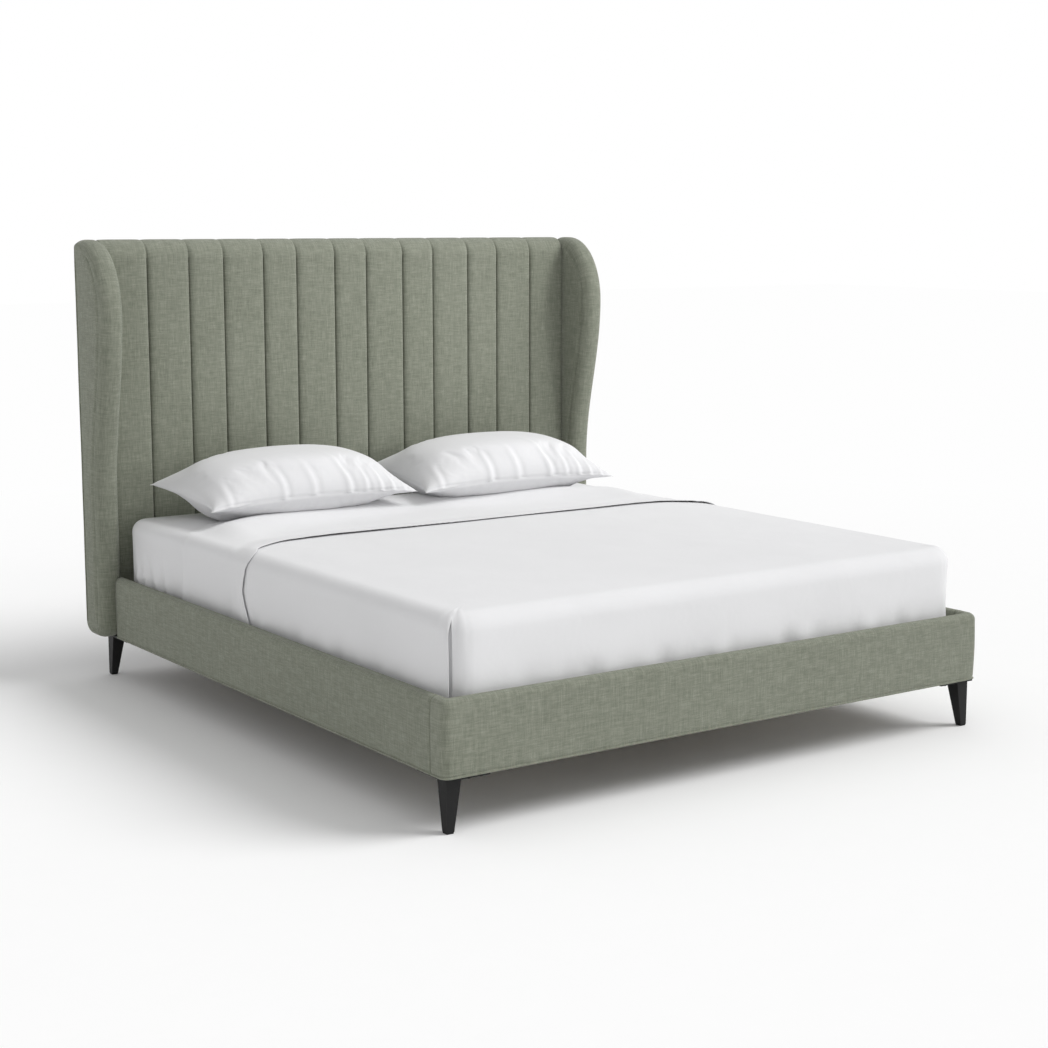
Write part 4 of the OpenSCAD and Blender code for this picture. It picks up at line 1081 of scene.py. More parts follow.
def wrap_layer(out, hem_z, spacing, shape, side_rows, top_rows):
    """A bmesh skin over the mattress. shape gives how far a point moves out along its normal."""
    work = bmesh.new()
    rings = []
    for offset, z in wrap_profile(out, hem_z, side_rows, top_rows):
        ring = []
        top = ease((z - (MATTRESS_TOP - MATTRESS_EDGE_R)) / (MATTRESS_EDGE_R + out))
        for x, y, nx, ny in plan_points(offset, spacing):
            p = Vector((x, y, z))
            n = Vector((nx * (1 - top), ny * (1 - top), top)).normalized()
            ring.append(work.verts.new(p + n * shape(p, n)))
        rings.append(ring)
    count = len(rings[0])
    for a, b in zip(rings, rings[1:]):
        for i in range(count):
            j = (i + 1) % count
            work.faces.new((a[i], a[j], b[j], b[i]))
    work.faces.new(rings[-1])
    return work


# Distance within which a point counts as on a cut, in metres
CUT_DIST = 1e-6


def cut_behind(work, edge, keep_head=False):
    """Cuts a skin along the line y = edge(point) and drops the head side, or the foot side."""
    moved = [(v, edge(v.co)) for v in work.verts]
    for v, y in moved:
        v.co.y -= y
    geometry = list(work.verts) + list(work.edges) + list(work.faces)
    bmesh.ops.bisect_plane(work, geom=geometry, plane_co=(0, 0, 0), plane_no=(0, 1, 0), dist=CUT_DIST,
                           clear_inner=keep_head, clear_outer=not keep_head)
    for v in work.verts:
        guess = v.co.copy()
        for _ in range(3):
            guess.y = v.co.y + edge(guess)
        v.co.y = guess.y


def skin_object(work, name, thickness):
    """An object from a skin, thickened inwards, with its free edges rounded."""
    mesh = bpy.data.meshes.new(name)
    work.to_mesh(mesh)
    work.free()
    obj = add_object(name, mesh)
    smooth_faces(mesh)
    thicken(obj, thickness, -1.0)
    rim = obj.modifiers.new("rim", "BEVEL")
    rim.width = thickness * 0.42
    rim.segments = 2
    rim.limit_method = "ANGLE"
    rim.angle_limit = math.radians(55)
    return obj


def below_top(p, start, reach):
    """0 above a depth under the mattress's top and 1 a reach further down."""
    return ease((MATTRESS_TOP - start - p.z) / reach)


# Folds of the fitted sheet by the head: y at the hem, lean, width and height, in metres
FITTED_FOLDS = [(0.85, -0.35, 0.015, 0.0170), (0.795, -0.45, 0.016, 0.0160), (0.715, -0.5, 0.020, 0.0140),
                (0.640, -0.4, 0.018, 0.0110)]

# Height of the slight unevenness of a drawn sheet, in metres
SHEET_SOFT = 0.0012


def fitted_shape(p, n):
    """Soft folds of the fitted sheet near the head, gathered towards its hem."""
    fall = 0.0
    for y0, lean, width, height in FITTED_FOLDS:
        fall += height * ridge(p.y - y0 - lean * (MATTRESS_TOP - 0.2 - p.z), width)
    side = abs(n.x) * (1 - n.z)
    soft = SHEET_SOFT * uneven(p.x * 6.0, p.y * 6.0, p.z * 9.0)
    return fall * below_top(p, 0.06, 0.13) * side + soft * (0.4 + 0.6 * side)


# Where the hanging edge of the turned-down sheet runs on the side of the bed: (z, y)
BAND_SIDE = [(0.309, 0.034), (0.341, 0.049), (0.372, 0.064), (0.400, 0.078), (0.433, 0.091),
             (0.453, 0.087), (0.494, 0.074), (0.519, 0.064), (0.533, 0.061), (0.546, 0.066)]


def cover_edge(p):
    """Where the turned-down sheet ends over the cover, as y at a point."""
    share = min(1.0, abs(p.x) / MATTRESS_HALF_W)
    top_y = COVER_EDGE_Y - COVER_EDGE_DROP * share ** COVER_EDGE_POWER
    side = ease((abs(p.x) - MATTRESS_HALF_W + 0.05) / 0.05)
    return top_y + (between(BAND_SIDE, p.z) - top_y) * side


def sheet_edge(p):
    """Where the flat sheet is folded back by the pillows, as y at a point."""
    share = min(1.0, abs(p.x) / MATTRESS_HALF_W)
    return SHEET_EDGE_Y - SHEET_EDGE_DROP * share ** SHEET_EDGE_POWER


# Swing of the cover's hanging sides and its tuck inside the rails, in metres
COVER_SWING = 0.0022
COVER_SWING_SOFT = 0.0016
COVER_TUCK = 0.0095


def cover_waves(p, n):
    """Long soft waves of the bed cover, and looser ones where it hangs at the sides."""
    wave = bpy.context.scene.bed_linen.wave
    broad = uneven(p.x * 2.6, p.y * 1.9, 0.4)
    fine = uneven(p.x * 7.0, p.y * 6.0, p.z * 6.0)
    along = p.y if abs(n.x) > abs(n.y) else p.x
    swing = COVER_SWING * math.sin(along * 13.0 + 0.6)
    swing += COVER_SWING_SOFT * uneven(along * 9.0, 3.0, p.z * 3.0)
    hang = below_top(p, 0.05, 0.12) * (1 - n.z)
    tuck = COVER_TUCK * below_top(p, 0.13, 0.06) * (uneven(along * 16.0, 8.0, 0.0) - 0.15)
    return wave * (0.55 * broad + 0.25 * fine) + hang * swing + tuck


# Height of the pleats at the cover's front corners, in metres, and how many waves they make
PLEAT_H = 0.0034
PLEAT_WAVES = 13.0


def corner_pleats(p):
    """Small pleats that fan out from the two front corners of the cover."""
    cx = MATTRESS_HALF_W - MATTRESS_CORNER_R
    cy = MATTRESS_MID_Y - MATTRESS_HALF_L + MATTRESS_CORNER_R
    away = Vector((abs(p.x) - cx, cy - p.y))
    if away.x < 0 or away.y < 0:
        return 0.0
    angle = math.atan2(away.y, away.x)
    near = ridge(p.z - MATTRESS_TOP + 0.03, 0.06) + below_top(p, 0.15, 0.05)
    return PLEAT_H * near * math.sin(angle * PLEAT_WAVES) * math.sin(angle * 2.0)


def cover_shape(p, n):
    """How far the bed cover stands off its plain form."""
    return cover_waves(p, n) + corner_pleats(p)


# The slit down the cover's front left corner: its angle round the corner, its top, and how far it reaches
SLIT_ANGLE = math.radians(221)
SLIT_TOP = 0.532
SLIT_RUN = 0.050
SLIT_DROP = 0.04

# How wide the slit gapes, how far its sides stand out and in, and how thin the cloth is at it
SLIT_GAP = 0.0065
SLIT_LIFT = 0.0105
SLIT_SINK = 0.0020
LIP_RUN = 0.030
LIP_SHARE = 0.15
SLIT_CENTRE = Vector((MATTRESS_CORNER_R - MATTRESS_HALF_W,
                      MATTRESS_MID_Y - MATTRESS_HALF_L + MATTRESS_CORNER_R, 0.0))
SLIT_OUT = Vector((math.cos(SLIT_ANGLE), math.sin(SLIT_ANGLE), 0.0))
SLIT_FORWARD = Vector((-SLIT_OUT.y, SLIT_OUT.x, 0.0))


def beside_slit(p):
    """Distance from the slit's plane, above zero on the front's side."""
    return (p - SLIT_CENTRE).dot(SLIT_FORWARD)


def near_slit(p):
    """Whether a point is below the slit's top and within its reach."""
    return p.z < SLIT_TOP and (p - SLIT_CENTRE).dot(SLIT_OUT) > 0 and abs(beside_slit(p)) < SLIT_RUN


def slit_corner(work):
    """Slits the hanging cover down its front left corner. Its side stands off more than its front."""
    near = [face for face in work.faces if near_slit(face.calc_center_median())]
    points = list({v for face in near for v in face.verts})
    edges = list({e for face in near for e in face.edges})
    cut = bmesh.ops.bisect_plane(work, geom=points + edges + near, plane_co=SLIT_CENTRE,
                                 plane_no=SLIT_FORWARD, dist=CUT_DIST)["geom_cut"]
    bmesh.ops.split_edges(work, edges=[part for part in cut if isinstance(part, bmesh.types.BMEdge)])
    for v in work.verts:
        if not near_slit(v.co):
            continue
        drop = ease((SLIT_TOP - v.co.z) / SLIT_DROP)
        middle = sum((face.calc_center_median() for face in v.link_faces), Vector()) / len(v.link_faces)
        in_front = beside_slit(middle) > 0
        away = abs(beside_slit(v.co))
        share = (1 - away / SLIT_RUN) ** 2 * drop
        if away < 10 * CUT_DIST:
            v.co += SLIT_FORWARD * (SLIT_GAP / 2 * drop * (1 if in_front else -1))
        v.co += SLIT_OUT * (share * (-SLIT_SINK if in_front else SLIT_LIFT))


def thin_lips(obj):
    """Makes the cover thin along its slit, where it is one hemmed cloth."""
    group = obj.vertex_groups.new(name="full")
    for v in obj.data.vertices:
        share = min(1.0, abs(beside_slit(v.co)) / LIP_RUN) if near_slit(v.co) else 1.0
        group.add([v.index], share, "REPLACE")
    obj.modifiers["thickness"].vertex_group = group.name
    obj.modifiers["thickness"].thickness_vertex_group = LIP_SHARE


def make_cover(material):
    """The quilted bed cover, hanging down inside the rails on three sides."""
    hem = low("bed_cover").z
    work = wrap_layer(COVER_OUT, hem, 0.022, cover_shape, side_rows=14, top_rows=34)
    cut_behind(work, lambda p: cover_edge(p) + COVER_UNDER_BAND)
    slit_corner(work)
    obj = skin_object(work, "bed_cover_quilt", COVER_OUT - COVER_IN)
    thin_lips(obj)
    finish_piece(obj, material, MATTRESS_BODY, ["bed_cover"])


# The turned-down band, in metres: how far it stands over the cover and the sheet, the curl of its edge, its
# hem line, the fold by the pillows, and how far the layer under it lies back
BAND_CLEAR = 0.0034
BAND_OUT = 0.0016
BAND_CURL = 0.0030
BAND_HEM = 0.0022
BAND_FOLD = 0.0065
BAND_FOLD_IN = 0.0015
BAND_LINE = 0.010
UNDER_DROP = -0.0004


def band_lift(p, n):
    """How far the turned-down sheet stands over the flat layer, more over the cover than behind it."""
    back = p.y - cover_edge(p)
    over = 1 - ease((back - COVER_UNDER_BAND) / 0.10)
    curl = BAND_CURL * ridge(back, BAND_LINE) * (0.72 + uneven(p.x * 2.4 + 0.7, p.z * 7.0, 2.0))
    step = COVER_OUT - FLAT_OUT + BAND_CLEAR
    hem = BAND_HEM * ridge(back - 0.175 - 0.02 * p.x, BAND_LINE) * n.z
    fold = BAND_FOLD * ridge(sheet_edge(p) - p.y, 0.022) * (1 - n.z)
    return over * step + curl + hem + fold


def fold_roll(x, y):
    """Height of the loose roll that the flat sheet makes where it is folded back by the pillows."""
    crest = sheet_edge(Vector((x, y, MATTRESS_TOP))) - ROLL_BACK
    inside = 1 - ease((abs(x) - 0.74) / 0.12)
    rise = ease((y - crest + 0.24) / 0.24) if y < crest else 1 - ease((y - crest) / ROLL_BACK)
    return ROLL_H * inside * rise


def band_shape(p, n):
    """How far the turned-down sheet stands off its plain form."""
    waves = cover_waves(p, n) * (1 - ease((p.y - cover_edge(p) - COVER_UNDER_BAND) / 0.25))
    soft = SHEET_SOFT * uneven(p.x * 5.0, p.y * 5.0, p.z * 9.0)
    return band_lift(p, n) + waves + (soft + fold_roll(p.x, p.y)) * n.z


def make_flat_sheet(material):
    """The flat sheet: a layer under the cover, folded back by the pillows and turned down over it."""
    hem = low("flat_sheet").z
    under = wrap_layer(FLAT_OUT, hem, 0.06, lambda p, n: UNDER_DROP, side_rows=4, top_rows=10)
    cut_behind(under, sheet_edge)
    band = wrap_layer(FLAT_OUT + BAND_OUT, hem, 0.014, band_shape, side_rows=16, top_rows=40)
    cut_behind(band, lambda p: sheet_edge(p) + BAND_FOLD_IN)
    cut_behind(band, cover_edge, keep_head=True)
    mesh = bpy.data.meshes.new("under")
    under.to_mesh(mesh)
    under.free()
    band.from_mesh(mesh)
    bpy.data.meshes.remove(mesh)
    obj = skin_object(band, "flat_sheet_cotton", COTTON_T)
    finish_piece(obj, material, MATTRESS_BODY, ["flat_sheet"])


def make_fitted_sheet(material):
    """The fitted sheet, drawn over the mattress and gathered at its hem."""
    hem = low("fitted_sheet").z
    work = wrap_layer(FITTED_OUT, hem, 0.016, fitted_shape, side_rows=16, top_rows=20)
    obj = skin_object(work, "fitted_sheet_cotton", COTTON_T)
    finish_piece(obj, material, MATTRESS_BODY, ["fitted_sheet"])


# The mattress's tape edges, in metres: over its underside, under its top, and their section
TAPE_EDGE_LOW = 0.030
TAPE_EDGE_HIGH = 0.045
TAPE_EDGE = [(-0.006, -0.0006), (-0.004, 0.0), (-0.002, 0.0002), (0.002, 0.0002), (0.004, 0.0),
             (0.006, -0.0006)]


def make_mattress(material):
    """The mattress in its ticking, with a round tape edge above and below."""
    r = MATTRESS_EDGE_R / 2
    profile = [(-MATTRESS_HALF_W + 0.02, SLAT_TOP + 0.001), (-0.2, SLAT_TOP), (-r, SLAT_TOP)]
    for _, sine, cosine in list(right_angle(6))[1:-1]:
        profile.append((-r + r * sine, SLAT_TOP + r - r * cosine))
    for tape_z in (SLAT_TOP + TAPE_EDGE_LOW, MATTRESS_TOP - TAPE_EDGE_HIGH):
        profile += [(out, tape_z + dz) for dz, out in TAPE_EDGE]
    edge_z = MATTRESS_TOP - MATTRESS_EDGE_R
    for _, sine, cosine in right_angle(EDGE_ROWS):
        profile.append((MATTRESS_EDGE_R * cosine - MATTRESS_EDGE_R, edge_z + MATTRESS_EDGE_R * sine))
    for inset in (0.05, 0.09, 0.13, 0.4, 0.85):
        profile.append((-MATTRESS_EDGE_R - inset, MATTRESS_TOP + crown_rise(inset)))
    rings = [[(x, y, z) for x, y, _, _ in plan_points(out, 0.06)] for out, z in profile]
    obj = lofted_piece("mattress_body", rings, (0, 1), material, MATTRESS_BODY,
                       ["mattress"])


# Pillows

PILLOW_REST_Z = MATTRESS_TOP + FLAT_OUT + MATTRESS_CROWN + 0.0003

# How full a pillow's filling is across and deep, and the share and power of its upper and lower half
FULL_ACROSS = 2.4
FULL_DEEP = 2.2
UPPER_SHARE = 0.94
UPPER_POWER = 0.49
LOWER_SHARE = 0.85
LOWER_POWER = 0.72

# The cloth simulation: its frames, how far a point may move in metres, and how much and how near the seam
# the cloth draws in
SIM_FRAMES = 20
SIM_CAP = 0.012
SEAM_DRAW = 0.07
SEAM_NEAR = 0.05

# The stitched seam of a pillow: how far in it runs, how wide and how deep it is, in metres
STITCH_IN = 0.011
STITCH_W = 0.0032
STITCH_DEEP = 0.0018


def pillow_point(u, v, side, rise):
    """A point of a pillow in its own place, where u runs across and v from front to back."""
    hw = PILLOW_W / 2
    hd = PILLOW_D / 2
    ear = PILLOW_EAR * abs(u * v) ** 8
    x = hw * u * (1 - PILLOW_PINCH * (1 - v * v) * u * u) + math.copysign(ear, u)
    y = hd * v * (1 - 2 * PILLOW_PINCH * (1 - u * u) * v * v)
    full = max(0.0, (1 - abs(u) ** FULL_ACROSS) * (1 - abs(v) ** FULL_DEEP))
    if side > 0:
        t = UPPER_SHARE * PILLOW_T / 2 * full ** UPPER_POWER
    else:
        t = -LOWER_SHARE * PILLOW_T / 2 * full ** LOWER_POWER
    arch = PILLOW_ARCH * (1 - u * u) * ease(-v)
    sine = math.sin(PILLOW_TILT)
    cosine = math.cos(PILLOW_TILT)
    mid_z = PILLOW_REST_Z + rise + PILLOW_D / 2 * sine
    z = mid_z + y * sine + t * cosine + arch
    return Vector((x, y * cosine - t * sine, max(z, PILLOW_REST_Z + 0.001)))


def pillow_form(name, rise, across=56, deep=36):
    """The plain closed form of a pillow, about its own middle."""
    pattern = Pattern()
    index = {}

    def spread(i, n):
        return math.sin(math.radians(90 * (2 * i / n - 1)))

    def corner(i, j, side):
        rim = i in (0, across) or j in (0, deep)
        key = (i, j, 0 if rim else side)
        if key not in index:
            index[key] = pattern.ring([pillow_point(spread(i, across), spread(j, deep), side, rise)])[0]
        return index[key]

    for side in (1, -1):
        for j in range(deep):
            for i in range(across):
                around = ((i, j), (i + 1, j), (i + 1, j + 1), (i, j + 1))
                quad = [corner(a, b, side) for a, b in around]
                pattern.face(quad, [(pattern.points[q].x, pattern.points[q].y) for q in quad])
    return pattern.build(name)


def remesh(obj, voxel):
    """Applies a voxel remesh to an object."""
    modifier = obj.modifiers.new("remesh", "REMESH")
    modifier.mode = "VOXEL"
    modifier.voxel_size = voxel
    apply_modifiers(obj)


def apply_modifiers(obj):
    """Replaces an object's mesh by what its modifiers make of it."""
    graph = bpy.context.evaluated_depsgraph_get()
    mesh = bpy.data.meshes.new_from_object(obj.evaluated_get(graph))
    obj.modifiers.clear()
    old = obj.data
    obj.data = mesh
    bpy.data.meshes.remove(old)


CLOTH_SETTINGS = {
    "quality": 4, "mass": 0.2, "tension_stiffness": 12, "compression_stiffness": 12, "shear_stiffness": 6,
    "bending_stiffness": 0.3, "air_damping": 2, "use_pressure": True, "vertex_group_shrink": "seam",
    "shrink_min": 0.0, "shrink_max": SEAM_DRAW,
}


def inflate(obj, pressure, floor_z, shrink):
    """Blows a closed cloth up with its seam drawn short, and keeps the result."""
    scene = bpy.context.scene
    start = [v.co.copy() for v in obj.data.vertices]
    group = obj.vertex_groups.new(name="seam")
    for v, share in zip(obj.data.vertices, shrink):
        if share > 0.01:
            group.add([v.index], share, "REPLACE")
    cloth = obj.modifiers.new("cloth", "CLOTH")
    for name, value in CLOTH_SETTINGS.items():
        setattr(cloth.settings, name, value)
    cloth.settings.uniform_pressure_force = pressure
    cloth.settings.effector_weights.gravity = 0
    cloth.point_cache.frame_start = 1
    cloth.point_cache.frame_end = SIM_FRAMES
    for number in range(1, SIM_FRAMES + 1):
        scene.frame_set(number)
    apply_modifiers(obj)
    for v, from_co in zip(obj.data.vertices, start):
        move = v.co - from_co
        if move.length > SIM_CAP:
            v.co = from_co + move * (SIM_CAP / move.length)
        v.co.z = max(v.co.z, floor_z)
    obj.vertex_groups.clear()
    scene.frame_set(1)


def seam_tree(rise):
    """A search tree of points along a pillow's seam."""
    rim = []
    for k in range(200):
        t = -1 + 2 * k / 199
        for u, v in ((t, -1), (t, 1), (-1, t), (1, t)):
            rim.append(pillow_point(u, v, 1, rise))
    tree = KDTree(len(rim))
    for i, p in enumerate(rim):
        tree.insert(p, i)
    tree.balance()
    return tree


# Creases up from the front seam of a pillow: place across, lean and reach as shares of its half size, and
# width and height in metres
PILLOW_CREASES = [(-0.84, 0.05, 0.50, 0.012, 0.0028), (-0.28, -0.16, 0.50, 0.013, 0.0034),
                  (0.02, -0.22, 0.42, 0.014, 0.0026), (0.37, -0.26, 0.62, 0.013, 0.0040),
                  (0.52, -0.15, 0.30, 0.010, 0.0024), (0.66, -0.16, 0.34, 0.010, 0.0028),
                  (0.77, -0.14, 0.28, 0.009, 0.0028), (0.88, -0.12, 0.24, 0.008, 0.0024)]


def crease_height(p):
    """How far a pillow's case stands out at a point for its creases."""
    u = p.x / (PILLOW_W / 2)
    back = p.y / (PILLOW_D / 2) + 1
    made = 0.0
    for place, lean, reach, width, height in PILLOW_CREASES:
        share = ease(back / 0.08) * (1 - ease((back - 0.15) / reach))
        d = (u - place - lean * back) * PILLOW_W / 2
        made += height * share * (ridge(d, width) - 0.9 * ridge(d - 1.5 * width, width))
    return made


def sew_pillow(obj, tree, rest_z):
    """Presses the stitched seam and the creases into a pillow's case."""
    mesh = obj.data
    moves = []
    for v in mesh.vertices:
        move = -STITCH_DEEP * ridge(tree.find(v.co)[2] - STITCH_IN, STITCH_W)
        if v.normal.z > -0.2 and v.co.y < 0.08:
            move += crease_height(v.co)
        moves.append(v.normal * move)
    for v, move in zip(mesh.vertices, moves):
        v.co = v.co + move
        v.co.z = max(v.co.z, rest_z)


def make_pillow(side, cotton):
    """A plump pillow in its case."""
    name = SIDE_NAMES[side]
    linen = bpy.context.scene.bed_linen
    rise = PILLOW_RISE[side]
    obj = pillow_form("pillow_" + name, rise)
    tree = seam_tree(rise)
    rest_z = PILLOW_REST_Z + 0.0005
    remesh(obj, linen.pillow_voxel)
    shrink = [max(0.0, 1 - tree.find(v.co)[2] / SEAM_NEAR) for v in obj.data.vertices]
    inflate(obj, linen.pillow_pressure, rest_z, shrink)
    even = obj.modifiers.new("even", "SMOOTH")
    even.factor = 0.5
    even.iterations = 4
    more = obj.modifiers.new("smooth", "SUBSURF")
    more.levels = 1
    more.render_levels = 1
    apply_modifiers(obj)
    sew_pillow(obj, tree, rest_z)
    smooth_faces(obj.data)
    turn = PILLOW_TURN[side]
    mid_x = side * (PILLOW_W + PILLOW_SPACING) / 2
    mid_y = PANEL_Y - PILLOW_HEAD_GAP - PILLOW_D / 2 * math.cos(PILLOW_TILT)
    for v in obj.data.vertices:
        x = v.co.x * math.cos(turn) - v.co.y * math.sin(turn) + mid_x
        y = v.co.x * math.sin(turn) + v.co.y * math.cos(turn) + mid_y
        v.co = Vector((x, y, max(v.co.z, rest_z + 0.002 + fold_roll(x, y))))
    finish_piece(obj, cotton, "pillow_" + name,
                 ["pillow_case_" + name, "pillow_filling_" + name])


# Finishes of the CAD nodes that stay

SIDES = ("left", "right")
ENDS = ("front", "rear")
CORNERS = [end + "_" + side for end in ENDS for side in SIDES]


def each(stem, places):
    """The names of the nodes with one stem, one for each place."""
    return [stem + "_" + place for place in places]


NODE_FINISHES = {
    "plywood": ["headboard_board", *each("slats", SIDES)],
    "softwood": ["headboard_battens", *each("side_rail", SIDES), "foot_rail", *each("corner_block", SIDES),
                 *each("slat_ledge", SIDES), "centre_beam"],
    "steel": ["wing_screws", "corner_screws", *each("headboard_bracket", SIDES), "bracket_bolts",
              "ledge_screws", *each("beam_hanger", ENDS), "hanger_screws", *each("centre_leg_plug", ENDS)],
    "black_metal": [*each("leg", CORNERS), *each("leg_plate", CORNERS), "leg_screws",
                    *each("centre_leg", ENDS)],
    "black_plastic": ["leg_glides", *each("centre_foot", ENDS)],
}


def paint_nodes(materials):
    """Gives every CAD node that stays its node material."""
    for finish, nodes in NODE_FINISHES.items():
        for node in nodes:
            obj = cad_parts[node]
            for slot in obj.material_slots:
                slot.link = "OBJECT"
                slot.material = materials[finish]


# Operators


def shared_material(name, make):
    """The material of that name, made when it is first asked for."""
    found = bpy.data.materials.get(MATERIAL_PREFIX + name)
    return found if found else make()


def fabric_of(scene):
    return shared_material("upholstery", lambda: upholstery_material(scene.bed_fabric))


def cotton_of(scene):
    return shared_material("sheeting", lambda: linen_material("sheeting", scene.bed_linen.cotton))


def plywood_of(scene):
    return shared_material("plywood", lambda: plywood_material(scene.bed_finish.plywood))


class BED_OT_headboard(bpy.types.Operator):
    """Build the channelled headboard padding and the lining behind it"""

    bl_idname = "bed.headboard"
    bl_label = "Headboard"

    def execute(self, context):
        make_headboard(fabric_of(context.scene), context.scene.bed_finish)
        make_back_cloth(dark_cloth_material())
        return {"FINISHED"}


class BED_OT_wings(bpy.types.Operator):
    """Build the padding and the plywood core of both wings"""

    bl_idname = "bed.wings"
    bl_label = "Wings"

    def execute(self, context):
        for side in (LEFT, RIGHT):
            make_wing(side, fabric_of(context.scene))
            make_wing_core(side, plywood_of(context.scene))
        return {"FINISHED"}


class BED_OT_rails(bpy.types.Operator):
    """Build the padding of the side rails and the foot rail"""

    bl_idname = "bed.rails"
    bl_label = "Rails"

    def execute(self, context):
        fabric = fabric_of(context.scene)
        for side in (LEFT, RIGHT):
            make_side_rail(side, fabric)
        make_foot_rail(fabric)
        return {"FINISHED"}


class BED_OT_base(bpy.types.Operator):
    """Build the slat tapes and finish the timber, metal and plastic parts"""

    bl_idname = "bed.base"
    bl_label = "Base"

    def execute(self, context):
        finish = context.scene.bed_finish
        tape = webbing_material()
        for side in (LEFT, RIGHT):
            make_slat_tapes(side, tape)
        paint_nodes({
            "plywood": plywood_of(context.scene),
            "softwood": softwood_material(finish.timber),
            "steel": steel_material(),
            "black_metal": black_paint_material("black_metal", finish.leg_black, 1400.0, 0.34),
            "black_plastic": black_paint_material("black_plastic", finish.leg_black, 900.0, 0.5),
        })
        return {"FINISHED"}


class BED_OT_bedding(bpy.types.Operator):
    """Build the mattress, the sheets and the bed cover"""

    bl_idname = "bed.bedding"
    bl_label = "Bedding"

    def execute(self, context):
        cotton = cotton_of(context.scene)
        make_mattress(ticking_material())
        make_fitted_sheet(cotton)
        make_cover(linen_material("quilting", context.scene.bed_linen.quilt, crease=0.0013, weave=1100.0))
        make_flat_sheet(cotton)
        return {"FINISHED"}


class BED_OT_pillows(bpy.types.Operator):
    """Build both pillows with a short cloth simulation"""

    bl_idname = "bed.pillows"
    bl_label = "Pillows"

    def execute(self, context):
        # The pillows' cotton is a darker copy of the sheets' white: painted shade for the light that falls
        # on them.
        cotton = linen_material("shaded_pillow_cotton", context.scene.bed_linen.shaded_pillow_cotton)
        for side in (LEFT, RIGHT):
            make_pillow(side, cotton)
        return {"FINISHED"}


# Stage


# Half the floor's width, its height, and the distances over which it turns white, in metres
FLOOR_REACH = 30.0
FLOOR_Z = -0.0003
FLOOR_FADE = (3.0, 5.5)

# Place and target of both lamps, and the size and spread of the near one
KEY_PLACE = (6.2, -3.4, 6.8)
KEY_TARGET = (0.0, 0.0, 0.0)
SIDE_PLACE = (2.7, -2.4, 1.75)
SIDE_TARGET = (0.2, 1.0, 1.15)
SIDE_SIZE = 1.0
SIDE_SPREAD = math.radians(34)

# The camera stands where the photograph was taken from
CAMERA_PLACE = (-3.410, -4.9645, 1.507)
CAMERA_TURN = (math.radians(81.10), 0.0, math.radians(-34.775))
CAMERA_LENS = 66.27
CAMERA_SENSOR = 36.0
CAMERA_FAR = 200.0


def seen_directly(tree):
    """1 for what the camera sees, also in metal and through glass, and 0 for light that bounces on."""
    path = tree.nodes.new("ShaderNodeLightPath")
    factor = path.outputs["Is Camera Ray"]
    for name in ("Is Glossy Ray", "Is Transmission Ray"):
        either = tree.nodes.new("ShaderNodeMath")
        either.operation = "MAXIMUM"
        tree.links.new(factor, either.inputs[0])
        tree.links.new(path.outputs[name], either.inputs[1])
        factor = either.outputs[0]
    return factor


def floor_material(base):
    """Pale floor that keeps the shadows near the bed and turns to plain white further away."""
    r = Recipe("floor")
    r.set(Roughness=0.9, Specular_IOR_Level=0.1)
    place = r.object_place()
    grain = r.noise(place, 12.0, detail=3.0)
    colour = r.mix(r.span(grain, 0.3, 0.7), rgba(base, 0.995), rgba(base, 1.0))
    r.fill(r.shader, Base_Color=colour)
    distance = r.node("VectorMath", operation="LENGTH")
    r.link(place, distance.inputs[0])
    far = r.math("MULTIPLY", r.span(distance.outputs["Value"], *FLOOR_FADE), seen_directly(r.tree))
    glow = r.fill(r.node("Emission"), Strength=0.99)
    blend = r.node("MixShader")
    r.link(far, blend.inputs[0])
    r.link(r.shader.outputs[0], blend.inputs[1])
    r.link(glow.outputs[0], blend.inputs[2])
    r.link(blend.outputs[0], r.tree.nodes["Material Output"].inputs["Surface"])
    return r.material


def make_floor(settings):
    """The floor, just under the glides."""
    mesh = bpy.data.meshes.new("floor")
    signs = ((-1, -1), (1, -1), (1, 1), (-1, 1))
    corners = [(x * FLOOR_REACH, y * FLOOR_REACH, FLOOR_Z) for x, y in signs]
    mesh.from_pydata(corners, [], [(0, 1, 2, 3)])
    mesh.materials.append(floor_material(settings.floor))
    add_object("floor", mesh)


def place_lamp(data, place, target):
    """Puts a lamp in its place, turned to its target and hidden from the camera."""
    obj = add_object(data.name, data)
    obj.location = place
    obj.rotation_euler = (Vector(target) - Vector(place)).to_track_quat("-Z", "Y").to_euler()
    obj.visible_camera = False


def make_lights(settings):
    """A wide soft key from the front right, and a weak near light that lifts the right side."""
    key = bpy.data.lights.new("key", "SUN")
    key.energy = settings.key_strength
    key.angle = settings.key_softness
    place_lamp(key, KEY_PLACE, KEY_TARGET)
    side = bpy.data.lights.new("side", "AREA")
    side.size = SIDE_SIZE
    side.spread = SIDE_SPREAD
    side.energy = settings.side_power
    place_lamp(side, SIDE_PLACE, SIDE_TARGET)


def make_world(strength):
    """An even pale room, seen by the camera as plain white."""
    world = bpy.data.worlds.new("room")
    world.use_nodes = True
    tree = world.node_tree
    room = tree.nodes["Background"]
    white = tree.nodes.new("ShaderNodeBackground")
    for background, level in ((room, strength), (white, 1.0)):
        background.inputs["Color"].default_value = PURE_WHITE
        background.inputs["Strength"].default_value = level
    mix = tree.nodes.new("ShaderNodeMixShader")
    tree.links.new(seen_directly(tree), mix.inputs[0])
    tree.links.new(room.outputs[0], mix.inputs[1])
    tree.links.new(white.outputs[0], mix.inputs[2])
    tree.links.new(mix.outputs[0], tree.nodes["World Output"].inputs["Surface"])
    bpy.context.scene.world = world


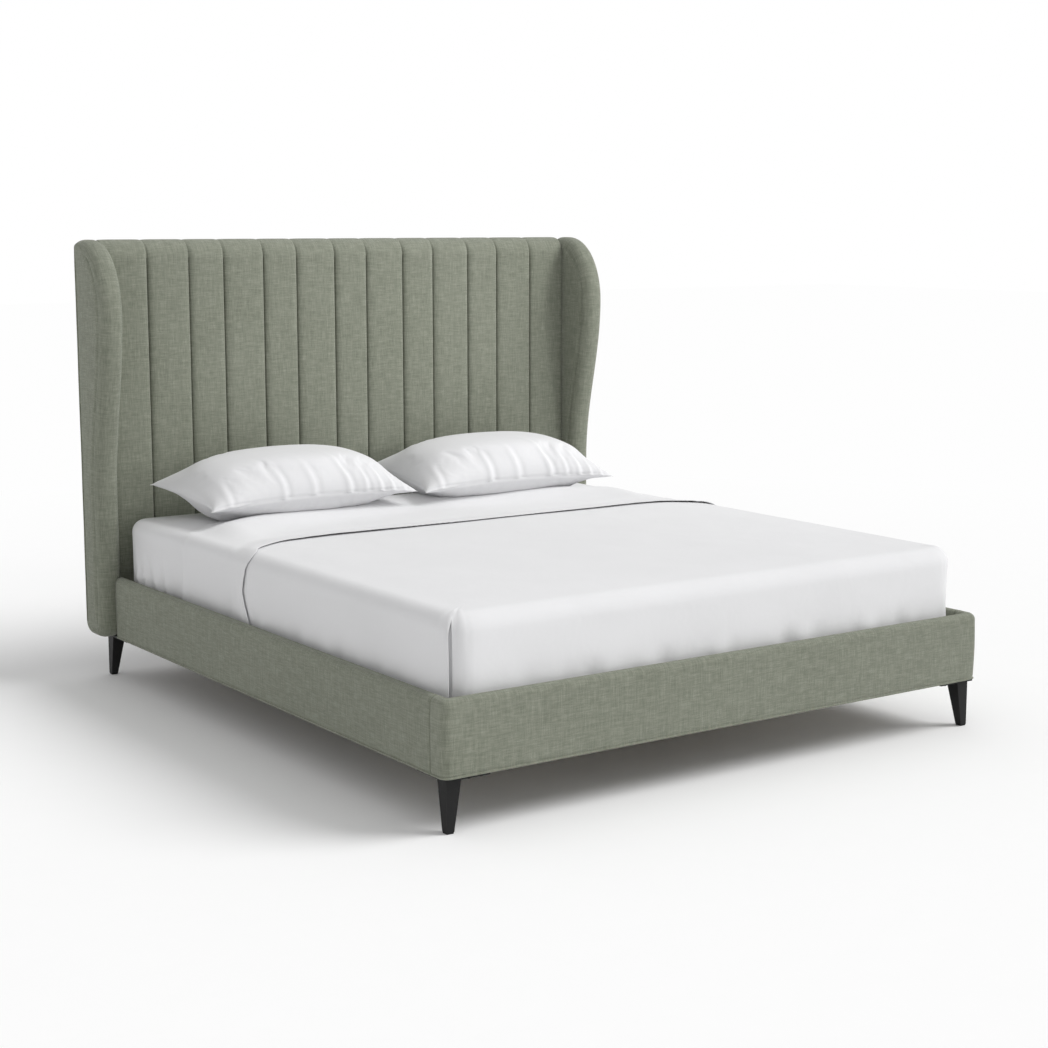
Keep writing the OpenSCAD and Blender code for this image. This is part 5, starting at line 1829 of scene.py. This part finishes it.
def make_camera():
    """The camera, at the photograph's place and angle."""
    data = bpy.data.cameras.new("camera")
    data.sensor_width = CAMERA_SENSOR
    data.lens = CAMERA_LENS
    data.clip_end = CAMERA_FAR
    obj = add_object("camera", data)
    obj.location = CAMERA_PLACE
    obj.rotation_euler = CAMERA_TURN
    bpy.context.scene.camera = obj


class BED_OT_stage(bpy.types.Operator):
    """Build the floor, the lights, the room and the camera"""

    bl_idname = "bed.stage"
    bl_label = "Stage"

    def execute(self, context):
        settings = context.scene.bed_stage
        make_camera()
        make_floor(settings)
        make_world(settings.room_light)
        make_lights(settings)
        context.scene.view_settings.view_transform = "Standard"
        return {"FINISHED"}


class BED_PT_looks(bpy.types.Panel):
    """Lists the settings and the steps that build the bed's looks"""

    bl_idname = "BED_PT_looks"
    bl_label = "Bed looks"
    bl_space_type = "VIEW_3D"
    bl_region_type = "UI"
    bl_category = "Bed"

    def draw(self, context):
        for step in STEPS:
            self.layout.operator(step.bl_idname)
        for name, group in SETTINGS.items():
            box = self.layout.box()
            box.label(text=group.__doc__)
            for field in group.__annotations__:
                box.prop(getattr(context.scene, name), field)


SETTINGS = {"bed_fabric": BedFabric, "bed_linen": BedLinen, "bed_finish": BedFrameFinish,
            "bed_stage": BedStage}
STEPS = [BED_OT_stage, BED_OT_headboard, BED_OT_wings, BED_OT_rails, BED_OT_base, BED_OT_bedding,
         BED_OT_pillows]


def register():
    for group in SETTINGS.values():
        bpy.utils.register_class(group)
    for step in STEPS:
        bpy.utils.register_class(step)
    bpy.utils.register_class(BED_PT_looks)
    for name, group in SETTINGS.items():
        setattr(bpy.types.Scene, name, PointerProperty(type=group))


def unregister():
    for name in SETTINGS:
        delattr(bpy.types.Scene, name)
    bpy.utils.unregister_class(BED_PT_looks)
    for step in reversed(STEPS):
        bpy.utils.unregister_class(step)
    for group in reversed(SETTINGS.values()):
        bpy.utils.unregister_class(group)


def main():
    """Builds the whole scene."""
    register()
    bpy.ops.bed.stage()
    bpy.ops.bed.headboard()
    bpy.ops.bed.wings()
    bpy.ops.bed.rails()
    bpy.ops.bed.base()
    bpy.ops.bed.bedding()
    bpy.ops.bed.pillows()


if __name__ == "__main__":
    main()
